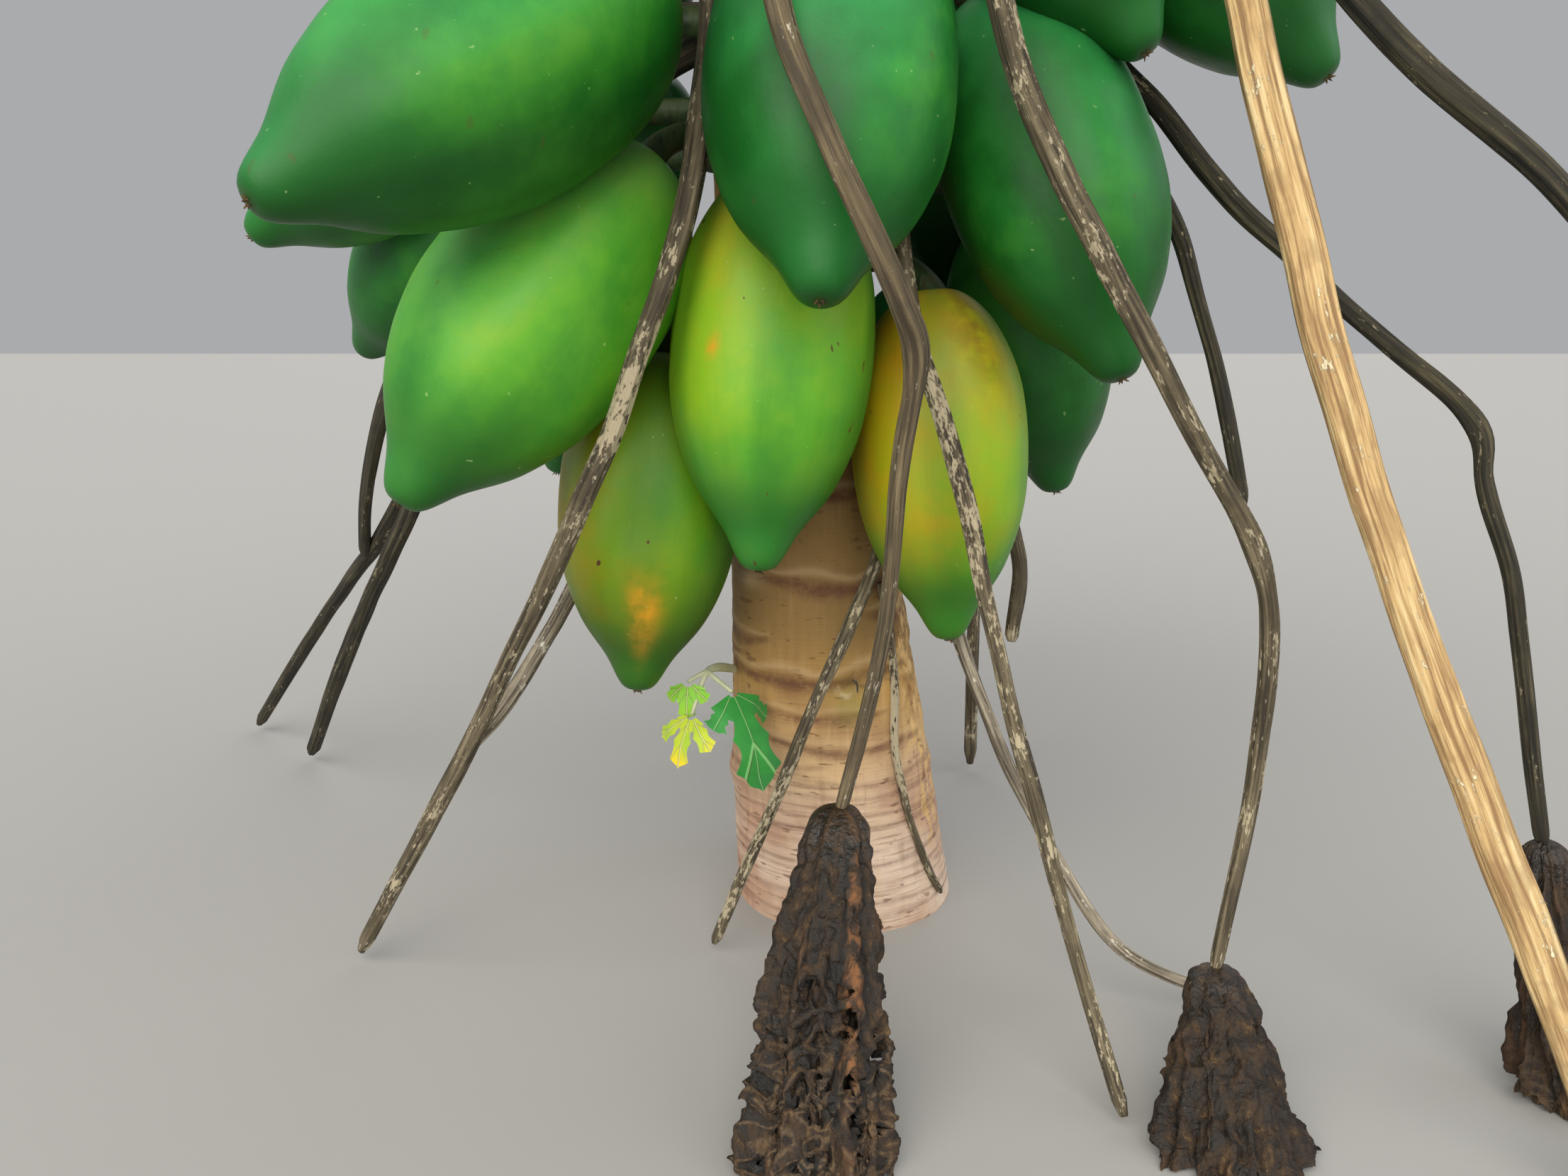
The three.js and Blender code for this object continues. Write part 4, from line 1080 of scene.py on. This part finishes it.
DRY_TONES = {
    "dead_stalk_smooth": ("443a2a", "6b5d45", "908162", "cfc4ac", 0.1),
    "dead_stalk_flaky": ("352d20", "655a44", "908369", "bfb193", 0.85),
    "dead_stalk_dark": ("1b1912", "3c3627", "615a43", "a3977a", 0.2),
    "dead_stalk_bleached": ("4f463a", "9c907c", "c4bba6", "e6decb", 0.5),
    "straw_stalk": ("96744c", "d2b07a", "ecd6a4", "f6e8c2", 0.1),
}
DRY_PAINTS = {name: group_paint(name, dry_skin, 0.0016, 0.8, tones)[0] for name, tones in DRY_TONES.items()}
print("dry finishes", sorted(DRY_PAINTS))

# %% Grow the dead stalks
for index, (node, (furrows, *runs)) in enumerate(STALKS.items()):
    is_straw = node == "stalk_straw"
    parts = []
    for run, (_, bearing, height, start, end, route) in enumerate(runs):
        places = [on_trunk(bearing, height * MM, -ROOT_DEPTH), *(np.array(place) * MM for place in route)]
        kink = None
        if run == 0 and node in LOWER_LENGTHS:
            below, last, lower_route = LOWER_LENGTHS[node]
            steps = step_lengths([*places, *(np.array(place) * MM for place in lower_route)])
            kink = (steps[:len(places) - 1].sum() / steps.sum(), end * MM, below * MM)
            places += [np.array(place) * MM for place in lower_route]
            end = last
        stalk = dry_stalk_part(
            spline(places, 400), start * MM, end * MM, SEEDS["stalk"] + index * 3 + run,
            flat=STRAW_FLATNESS if is_straw else 1.0,
            worn=WORN_PATCHES.get(node, UNWORN), furrows=furrows, knuckle=kink)
        parts.append((stalk, run))
    grow_piece(node + "_skin", parts, [DRY_PAINTS[stalk[0]] for stalk in runs],
               "straw_stalk" if is_straw else "dead_stalk", node)
print("dead stalks", fresh(), "triangles")

# %% [markdown]
# ## A dead strip and a stub
# A flat strip of dead tissue still clings to the front of the trunk and curls over its flare, and
# a short stub hangs dark behind the ripe fruit. Both are dry stalks like the others. The strip's
# places are given as bearings and heights on the trunk, so that it follows the flare.

# %% Strip, stub and dried bud
STRIP = ((-46, 0.268), (-44, 0.225), (-46, 0.19), (-52, 0.145), (-51, 0.1), (-46, 0.065), (-39, 0.036),
         (-31, 0.014))
STRIP_RADII, STUB_RADII, HOOK_RADII = (0.0034, 0.0026), (0.007, 0.0055), (0.0011, 0.0006)
STUB = ((0.1, -0.02, 0.35), (0.125, -0.04, 0.28), (0.118, -0.06, 0.222))
strip_path = spline([on_trunk(bearing, height, 0.0018) for bearing, height in STRIP], 300)
strip = dry_stalk_part(strip_path, *STRIP_RADII, SEEDS["remains"], 18, flat=0.8, worn=(0.75, 0.42, 0.3),
                       furrows=4, heel=0)
stub = dry_stalk_part(spline([on_trunk(8, 0.4, -ROOT_DEPTH), *STUB], 200), *STUB_RADII, SEEDS["remains"] + 1,
                      18)
hook_path = bow(on_trunk(-74, 0.2, 0.002), on_trunk(-70, 0.199, 0.004), on_trunk(-72, 0.19, 0.001), 16)
hook = dry_stalk_part(hook_path, *HOOK_RADII, SEEDS["remains"] + 2, 10)
grow_piece("dry_remains", [(strip, 0), (stub, 0), (hook, 0)], [DRY_PAINTS["dead_stalk_flaky"]],
           "dead_stalk")
print("strip, stub and bud", fresh(), "triangles")

# %% [markdown]
# ## Crumpled dead leaves
# Three stalks have snapped at a kink, and what is left of the leaf trails on the ground below
# them: it has folded down round the stalk's end like a shut umbrella and dried black-brown. It is
# a sheet draped in a cone. Pleats run down it and deepen as it widens, two sizes of ripple
# crumple it, and lower down it has rotted to a net: the holes are pressed in, and the deepest lose
# their faces. A second and a third sheet inside make the holes dark and the hem thick.

# %% Draped sheets of dead leaf
# Each sheet's share of the width, its rows and columns, and how easily holes break through.
SHEETS = ((1.0, 140, 132, 0.8), (0.78, 84, 72, 0.62), (0.56, 60, 48, 1.3))
NET_ROUND, NET_ALONG = 11, 12
SPLIT_BEARING = -56


def net_of_holes(turn, far, seed):
    """0 on the cords of an uneven net, 1 in its holes, which grow longer towards the top."""
    shift = np.random.default_rng(seed).uniform(-0.05, 1.05, (NET_ALONG + 3, NET_ROUND, 2))
    u, v = np.broadcast_arrays(turn / (2 * math.pi) * NET_ROUND, NET_ALONG * far ** 1.6)
    cell_u, cell_v = np.floor(u).astype(int), np.floor(v).astype(int)
    gaps = []
    for down in (-1, 0, 1):
        for aside in (-1, 0, 1):
            seat = shift[np.clip(cell_v + down, 0, NET_ALONG + 2), (cell_u + aside) % NET_ROUND]
            gaps.append(np.hypot(u - cell_u - aside - seat[..., 0], v - cell_v - down - seat[..., 1]))
    nearest = np.sort(gaps, axis=0)
    return ease(0.04, 0.42, nearest[1] - nearest[0])


def hanging_on(kept):
    """The faces of a wrapped grid that still hang on its first row."""
    reached = kept & (np.arange(len(kept)) == 0)[:, None]
    while True:
        wider = reached.copy()
        for shift, axis in ((1, 0), (-1, 0), (1, 1), (-1, 1)):
            wider |= np.roll(reached, shift, axis)
        wider = wider & kept
        wider[-1] &= wider[-2]
        if (wider == reached).all():
            return reached
        reached = wider | reached


def draped_part(top, foot, radii, netted, share, rows, columns, breaking, seed):
    """One sheet from the stalk's end down to the foot: creased, pitted and holed lower down."""
    far, turn = np.linspace(0, 1, rows)[:, None], turns(columns)[None]
    cap = np.sqrt(1 - (1 - np.clip(far / 0.07, 0, 1)) ** 2)
    reach = (radii[0] + (radii[1] - radii[0]) * far ** 0.8) * cap * share
    around = on_roll(turn, far * 1.1)
    swing = 0.3 * ripple(around, 2.2, seed) * far
    creases = 1 - 2 * np.abs(np.sin((turn + swing) * 3.5 + seed)) ** 0.6
    folds = 0.12 * creases + 0.07 * np.cos(11 * (turn - swing) + seed)
    folds = folds + 0.12 * ripple(around * (1, 1, 0.6), 0.9, seed + 1, 2)
    for waves, height, drift, size, step in ((17, 0.07, 2.2, 1.1, 2), (29, 0.04, 3, 0.8, 4)):
        strands = height * np.cos(waves * turn + drift * ripple(around, size, seed + step))
        folds = folds + strands * (1.3 - 0.9 * netted)
    patchy = ease(-0.45, 0.2, ripple(around * (1, 1, 1.8), 0.9, seed + 9))
    net = net_of_holes(turn + swing * 0.6, far, seed) * (0.5 + 0.5 * patchy) * netted
    pit = net * ease(0.1, 0.62, far)
    split = bump_at(bearing_gap(np.degrees(turn), SPLIT_BEARING), 0, 19)
    split = split * ease(0.06, 0.14, far) * (1 - ease(0.72, 0.88, far)) * netted
    radius = reach * (0.92 + folds * (0.5 + 0.6 * far)) - 0.0075 * pit * share
    radius = np.maximum(radius, reach * 0.3)
    spread = on_roll(turn + swing * 0.5, 0) * radius[..., None] * (1, 0.8, 0)
    points = top + (foot - top) * far[..., None] + spread
    rumple = ripples(points * (1, 1, 0.4), 0.022, (seed + 3, seed + 4, seed + 5)) * 0.0024
    cockle = ripples(points * (1, 1, 0.6), 0.008, (seed + 6, seed + 7, seed + 8)) * 0.0009
    points = points + (rumple + cockle) * ease(0.01, 0.2, far)[..., None]
    points[..., 2] = np.maximum(points[..., 2], 0.0008)
    points, faces = points.reshape(-1, 3), grid_faces(rows, columns)
    middles = points[faces].mean(1)
    face_far = filled(far, radius.shape)[faces[:, 0]]
    rot = net.ravel()[faces[:, 0]] + 0.16 * ripple(middles, 0.02, seed + 30, 2) * ease(0.3, 0.7, face_far)
    whole = rot < breaking + 0.6 * (1 - ease(0.25, 0.6, face_far))
    hem = 0.975 + 0.03 * ripple(middles * (1, 1, 0.2), 0.02, seed + 32, 2)
    # The crest mark is higher on the raised folds, and the finish paints them lighter as a painted highlight.
    marks = {"far": filled(far * np.linalg.norm(foot - top), radius.shape), "pit": pit.ravel(),
             "split": split.ravel(), "crest": (0.5 + folds * 2.4 - 0.3 * pit).ravel(),
             "capped": filled(1 - ease(0.05, 0.2, far), radius.shape)}
    kept = hanging_on((whole & (face_far < hem)).reshape(rows - 1, columns)).ravel()
    return points, faces[kept], marks


print("a dead leaf of", len(SHEETS), "sheets")

# %% Dead leaf finish
dead_leaf_paint, wire, shader = new_paint("dead_leaf", 0.6)
drawn = wire.place((1, 1, 0.14))
big, small, tiny = wire.noise(drawn, 30, 3), wire.noise(drawn, 150, 4, 0.65), wire.noise(wire.place(), 420, 3)
rusty, pit, split = wire.noise(drawn, 110, 4, 0.6), wire.mark("pit"), wire.mark("split")
# painted rim light on the cords between the pits
cord_rim_light = wire.times(wire.between(pit, 0.06, 0.18), wire.between(pit, 0.42, 0.26))
cord_rim_light = wire.times(cord_rim_light, wire.between(wire.mark("far"), 0.09, 0.17))
rim = wire.times(wire.between(split, 0.12, 0.3), wire.between(split, 0.55, 0.38))
skin = wire.layers(
    wire.ramp(small, ((0.3, "0e0a06"), (0.48, "251a0f"), (0.62, "412f1c"), (0.78, "745b3a"))),
    # painted highlight on the raised folds
    (wire.between(big, 0.5, 0.66), wire.between(wire.mark("crest"), 0.4, 0.9, 0.0, 0.45), "6e4c2e"),
    (wire.between(split, 0.4, 0.75), wire.between(rusty, 0.44, 0.6, 0.0, 0.8),
     wire.blend(wire.between(small, 0.4, 0.62), "47301c", "8a5a34")),
    # painted rim light on the cords
    (cord_rim_light, wire.between(tiny, 0.35, 0.6, 0.2, 0.75), "69543b"),
    (rim, 0.8, "0c0907"),
    # painted shade: the pressed pits are painted near black, as dark as the holes
    (wire.between(pit, 0.3, 0.8), 0.9, "0b0806"),
    (wire.between(tiny, 0.68, 0.76), 0.25, "b8a888"),
)
rough = wire.times_plus(wire.mark("capped"), -0.3, wire.between(small, 0.3, 0.7, 0.62, 0.85))
relief = wire.times_plus(tiny, 0.3, wire.noise(wire.place((1, 1, 0.4)), 140, 4, 0.65))
dress(wire, shader, skin, rough, relief, 0.003)
print("dead leaf finish of", len(dead_leaf_paint.node_tree.nodes), "nodes")

# %% Grow the dead leaves
# Where each one's foot is, its radii at the top and at the foot, and how much of it is a net.
DEAD_LEAVES = {"stalk_front": ((-36, -345, 0), (17, 48), 1.0),
               "stalk_right": ((202, -328, 0), (14, 44), 0.12),
               "stalk_far_right": ((424, -280, 0), (12, 36), 0.12)}
for index, (node, (foot, radii, netted)) in enumerate(DEAD_LEAVES.items()):
    top = (np.array(LOWER_LENGTHS[node][2][-1]) + (0, 0, radii[0] * 0.6)) * MM
    sheets = [
        (draped_part(top, np.array(foot) * MM, np.array(radii) * MM, netted, *sheet,
                     (SEEDS["dead_leaf"] + index) * 50 + i),
         0)
        for i, sheet in enumerate(SHEETS)]
    grow_piece(node + "_dead_leaf", sheets, [dead_leaf_paint], "dead_leaf",
               node + "_fallen")
print("dead leaves", fresh(), "triangles")

# %% [markdown]
# ## Live leaves
# A papaya leaf is a hand of seven to nine deep lobes on a long hollow stalk, and each lobe is cut
# again into pointed side lobes with a pale vein to each. A flat outline would look like paper, so
# each main lobe is a strip with a column of points down its vein: its edge swells out at each side
# lobe and leans forward, it is folded a little along the vein, and the whole blade arches and
# ripples. The source's plain blade gives the lobes' lengths and their spacing.

# %% Leaf rule and lobes
LEAF_COUNT, YELLOW_LEAVES = 14, 5
LEAF_TURN, LEAF_START = 137.5, -35
LEAF_ROOTS, LEAF_RISE, LEAF_HANG = (1.17, 1.44), (2, 66), (74, 18)
PETIOLE_LENGTH, PETIOLE_SAG, PETIOLE_RADIUS = (0.6, 0.43), (0.15, 0.02), (0.013, 0.007)
BLADE_SPAN, BLADE_ARCH = (0.305, 0.235), 0.22
LOBE_LENGTHS, LOBE_STEP, NOTCH_SHARE, STALK_SEAT = (1, 0.95, 0.84, 0.64), 48, 0.32, 0.11
NOTCH_ROWS = 14


def lobe_part(span, length, seed, side_lobes=3.5, wide=1.0, columns=13, rows=58, cut=0.72, lean=0.62,
              full=1.0):
    """One main lobe as a flat strip, as forward, aside and how far out, for rows by columns."""
    dice = np.random.default_rng(seed)
    half_step = math.radians(LOBE_STEP / 2)
    notch = NOTCH_SHARE * span * math.cos(half_step)
    far = np.concatenate([np.linspace(0.004, notch, NOTCH_ROWS, endpoint=False),
                          np.linspace(notch, length * span, rows - NOTCH_ROWS)])
    past = np.clip((far - notch) / (length * span - notch), 0, 1)
    halves = []
    for _ in (0, 1):
        wave = np.abs(np.sin(math.pi * (past * side_lobes + 0.5 + dice.uniform(-0.06, 0.06)))) ** 0.8
        swell = np.sin(math.pi * np.clip(past ** full * 0.86 + 0.14, 0, 1)) * (1 - wave * cut)
        half = between((notch * math.tan(half_step), wide * span * length * (0.075 + 0.17 * swell)),
                       ease(0, 0.1, past))
        half = half * (1 - np.clip((past - 0.8) / 0.2, 0, 1) ** 1.4) + 0.0004
        halves.append(np.where(far < notch, far * math.tan(half_step), half)[:, None])
    share = np.linspace(-1, 1, columns)[None]
    aside = share * np.where(share < 0, *halves)
    lean = lean * np.abs(aside) * ease(0, 0.25, past)[:, None]
    forward = far[:, None] + lean * (1 - ease(0.86, 1.0, past))[:, None]
    return forward, aside, far[:, None] + 0 * aside


def blade_part(end, bearing, hang, span, seed, lengths=LOBE_LENGTHS, arch=BLADE_ARCH, **shape):
    """A whole blade at the end of its stalk, with the middle lobe's length first."""
    dice = np.random.default_rng(seed)
    front, sideways = heading(bearing, hang), heading(bearing + 90)
    upper = np.cross(front, sideways)
    parts = []
    for lobe in range(1 - len(lengths), len(lengths)):
        angle, length = math.radians(lobe * LOBE_STEP), lengths[abs(lobe)]
        forward, aside, far = lobe_part(span, length, seed * 31 + lobe, **shape)
        along, across = np.array([[math.cos(angle), math.sin(angle)], [-math.sin(angle), math.cos(angle)]])
        flat = forward[..., None] * along + aside[..., None] * across
        radius = np.linalg.norm(flat, axis=-1)
        lift = -arch * radius ** 2 / span + 0.16 * np.abs(aside) * ease(0.03, 0.12, radius)
        cloud = np.concatenate([flat, lift[..., None]], -1)
        rippled = 0.03 * ripple(cloud, span * 0.9, seed) + 0.012 * ripple(cloud, span * 0.28, seed + 1)
        lift += rippled * span * 1.6 * ease(0.02, 0.12, radius)
        drop = dice.uniform(0.0, 0.12) * ease(0.55, 1.0, far / (length * span)) * span
        points = end + front * flat[..., :1] + sideways * flat[..., 1:] + upper * (lift - drop)[..., None]
        marks = {"vein_off": np.abs(aside).ravel(), "vein_far": (forward - np.abs(aside) * 1.62).ravel(),
                 "reach": (far / span).ravel()}
        parts.append((points.reshape(-1, 3), grid_faces(*forward.shape, closed=False), marks))
    return joined(parts)


probe = blade_part(np.zeros(3), 0, 20, 0.3, 1)
print("one blade", len(probe[1]), "quads,", (probe[0].max(0) - probe[0].min(0)).round(3), "m")

# %% The shared leaf vein group
leaf_veins, wire, given, result = new_group(
    "leaf_veins",
    {"Leaf": "3f8a2f", "Shade": "2c6b25", "Vein": "a9c765", "Scorch": "8a6a22", "Scorching": 0.0,
     "Vein gap": 0.024, "Vein width": 0.0022},
    {"Color": COLOUR, "Height": NUMBER})
tone, cells = wire.noise(wire.place(), 28, 4), wire.noise(wire.place(), 240, 3)
off = wire.mark("vein_off")
mid_line = wire.between(off, given["Vein width"], wire.times(given["Vein width"], 0.3))
order = wire.math("DIVIDE", wire.mark("vein_far"), given["Vein gap"])
nearest = wire.math("ABSOLUTE", wire.math("SUBTRACT", wire.math("FRACT", order), 0.5))
side_line = wire.times(wire.between(nearest, 0.045, 0.012), wire.between(off, 0.06, 0.002, 0.25, 0.85))
veins = wire.math("MAXIMUM", mid_line, side_line)
edge = wire.between(wire.plus(wire.mark("reach"), wire.times(tone, 0.5)), 0.8, 1.25)
skin = wire.layers(
    wire.blend(wire.between(tone, 0.32, 0.66), given["Shade"], given["Leaf"]),
    (wire.between(cells, 0.4, 0.7), 0.18, given["Shade"]),
    (edge, given["Scorching"], given["Scorch"]),
    (veins, 0.8, given["Vein"]),
)
wire.fill(result, {"Color": skin, "Height": wire.times_plus(cells, 0.3, wire.math("SUBTRACT", 1.0, veins))})


def leaf_paint(name, *look):
    made, shader = group_paint(name, leaf_veins, 0.0012, 0.55, look)
    shader.inputs["Sheen Weight"].default_value = 0.08
    return made


def petiole_paint(name, low, high):
    return mottled_paint(name, 0.5, (1, 34, 4), ((0.3, low), (0.7, high)), (1, 300, 2))


LEAF_LOOKS = {
    "leaf_yellow": ("f7d01e", "e8b714", "faeda0", "a8741c", 0.7),
    "leaf_turning": ("b9bf25", "8aa52a", "e3e28a", "c98f1a", 0.7),
    "leaf_green": ("4c9a36", "347c2b", "b4d27a", "9a9a2c", 0.25),
    "leaf_young": ("74b63c", "579a33", "cbe08c", "74b63c", 0.0, 0.016),
}
LEAF_PAINTS = {name: leaf_paint(name, *look) for name, look in LEAF_LOOKS.items()}
PETIOLE_PAINTS = {
    "leaf_yellow": petiole_paint("petiole_yellow", "b39a3a", "d9c25a"),
    "leaf_green": petiole_paint("petiole_green", "6f9a45", "a3bf6a"),
}
print("leaf finishes", sorted(LEAF_PAINTS))

# %% Grow the crown
def petiole_part(root, bend, end, start, stop, rows=60, sides=16):
    return swelling_stem(root, bend, end, (start, stop), (rows, sides), 0.92, (0.25, 0.05), (0.12, 0.03),
                         (3, 0.03))


for index in range(LEAF_COUNT):
    share, bearing = index / (LEAF_COUNT - 1), LEAF_START + LEAF_TURN * index
    length, span, hang = (between(pair, share) for pair in (PETIOLE_LENGTH, BLADE_SPAN, LEAF_HANG))
    out = heading(bearing, -between(LEAF_RISE, share))
    root = on_trunk(bearing, between(LEAF_ROOTS, share), -ROOT_DEPTH)
    end = root + out * length - np.array([0, 0, between(PETIOLE_SAG, share)])
    seat = end + heading(bearing, hang) * span * STALK_SEAT
    stalk = petiole_part(root, root + out * length * 0.55, seat, *PETIOLE_RADIUS)
    blade = blade_part(seat, bearing, hang, span, SEEDS["leaf"] + index)
    kind = "leaf_yellow" if index < YELLOW_LEAVES else "leaf_green"
    tint = "leaf_turning" if index in (YELLOW_LEAVES - 1, YELLOW_LEAVES) else kind
    grow_piece(f"leaf_{index + 1}_fine", [(stalk, 0), (blade, 1)],
               [PETIOLE_PAINTS[kind], LEAF_PAINTS[tint]], kind, f"leaf_{index + 1}")
print("crown", LEAF_COUNT, "leaves,", fresh(), "triangles")

# %% [markdown]
# ## The growing tip
# The youngest leaves stand close round the bud with their blades still half folded down. They
# follow the source's rule too: four on thin stalks, each smaller than the last.

# %% Young leaves
YOUNG_LEAVES, YOUNG_SHRINK = 4, 0.13
YOUNG_LENGTH, YOUNG_RISE, YOUNG_SPAN, YOUNG_HANG = 0.235, 72, 0.115, -48
YOUNG_STALK, BUD_RADII = (0.006, 0.0045), (0.019, 0.006)
YOUNG_SHAPE = {"lengths": (1, 0.9, 0.7), "side_lobes": 2.5, "arch": 0.3, "columns": 9, "rows": 40}
tip = trunk_centre(TRUNK_HEIGHT)
start = tip + np.array([0, 0, 0.03])
bud_path = spline([tip, tip + np.array([0, 0, 0.04]), tip + np.array([0.003, 0, 0.073])], 20)
bud_radii = plain_radii(*BUD_RADII, 20, 14) * (1 - 0.4 * ease(0.7, 1, np.linspace(0, 1, 20)))[:, None]
parts = [(tube(bud_path, bud_radii), 0)]
for i in range(YOUNG_LEAVES):
    bearing = LEAF_START + LEAF_TURN * (LEAF_COUNT + i)
    size = 1 - i * YOUNG_SHRINK
    stretch = heading(bearing, -YOUNG_RISE) * YOUNG_LENGTH * size
    stalk = petiole_part(start, start + stretch * 0.5, start + stretch, *YOUNG_STALK, 24, 10)
    blade = blade_part(start + stretch, bearing, YOUNG_HANG, YOUNG_SPAN * size, SEEDS["young_leaf"] + i,
                       **YOUNG_SHAPE)
    parts += [(stalk, 0), (blade, 1)]
grow_piece("young_leaves_fine", parts, [PETIOLE_PAINTS["leaf_green"], LEAF_PAINTS["leaf_young"]],
           "leaf_green", "young_leaves")
print("young leaves", fresh(), "triangles")

# %% [markdown]
# ## The side shoot
# Low on the trunk a small shoot carries one dark green lobed leaf and one lime leaf that is
# turning yellow. Both are grown as blades with few lobes, on thin pale stems.

# %% Side shoot
SHOOT_ROOT, SHOOT_STEM = (190, 0.19), (0.0032, 0.0014)
SHOOT_FORK = np.array((-104, -74, 204)) * MM
# Each leaf: its stem's end, span, bearing, hang, lobe lengths, side lobes, width, and fullness far out.
SHOOT_LEAVES = (
    ((-86, -90, 193), 71, -50, 46, (1, 0.46), 2.5, 1.2, 1.5),
    ((-118, -84, 199), 26, -100, 64, (1, 0.75), 2, 1.3, 1.0),
    ((-115, -93, 177), 38, -128, 52, (1, 0.8), 2, 1.05, 1.4),
)
SHOOT_LOOKS = {
    "shoot_green": ("2f9636", "1f7c30", "8fce7c", "2f9636", 0.0, 0.08, 0.0008),
    "shoot_lime": ("8ed032", "6cba2e", "d6e68c", "a5d02c", 0.6, 0.014, 0.0008),
    "shoot_yellow": ("c8d42c", "9cc430", "eef0a0", "f4d51c", 1.0, 0.014, 0.0008),
}
shoot_paints = [leaf_paint(name, *look) for name, look in SHOOT_LOOKS.items()]
root = on_trunk(*SHOOT_ROOT, -ROOT_DEPTH)
parts = []
for i, (place, span, bearing, hang, lengths, side_lobes, wide, full) in enumerate(SHOOT_LEAVES):
    end = np.array(place) * MM
    stem = tube(spline([root, SHOOT_FORK, end], 30), plain_radii(*SHOOT_STEM, 30, 10))
    blade = blade_part(end, bearing, hang, span * MM, SEEDS["shoot_leaf"] + i, lengths, 0.2,
                       side_lobes=side_lobes, wide=wide, full=full, rows=56, cut=0.55, lean=0.25)
    parts += [(stem, 0), (blade, 1 + i)]
grow_piece("trunk_sprout_fine", parts,
           [petiole_paint("shoot_stem", "a9b58a", "d8d6b4"), *shoot_paints], "sprout", "trunk_sprout")
print("side shoot", fresh(), "triangles")

# %% Size and count
dressed_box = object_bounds()
print("pieces", grown["pieces"], "triangles", grown["triangles"])
for label, box in (("solid", cad_box), ("dressed", dressed_box)):
    print(label, "box", [[round(v, 3) for v in c] for c in box])
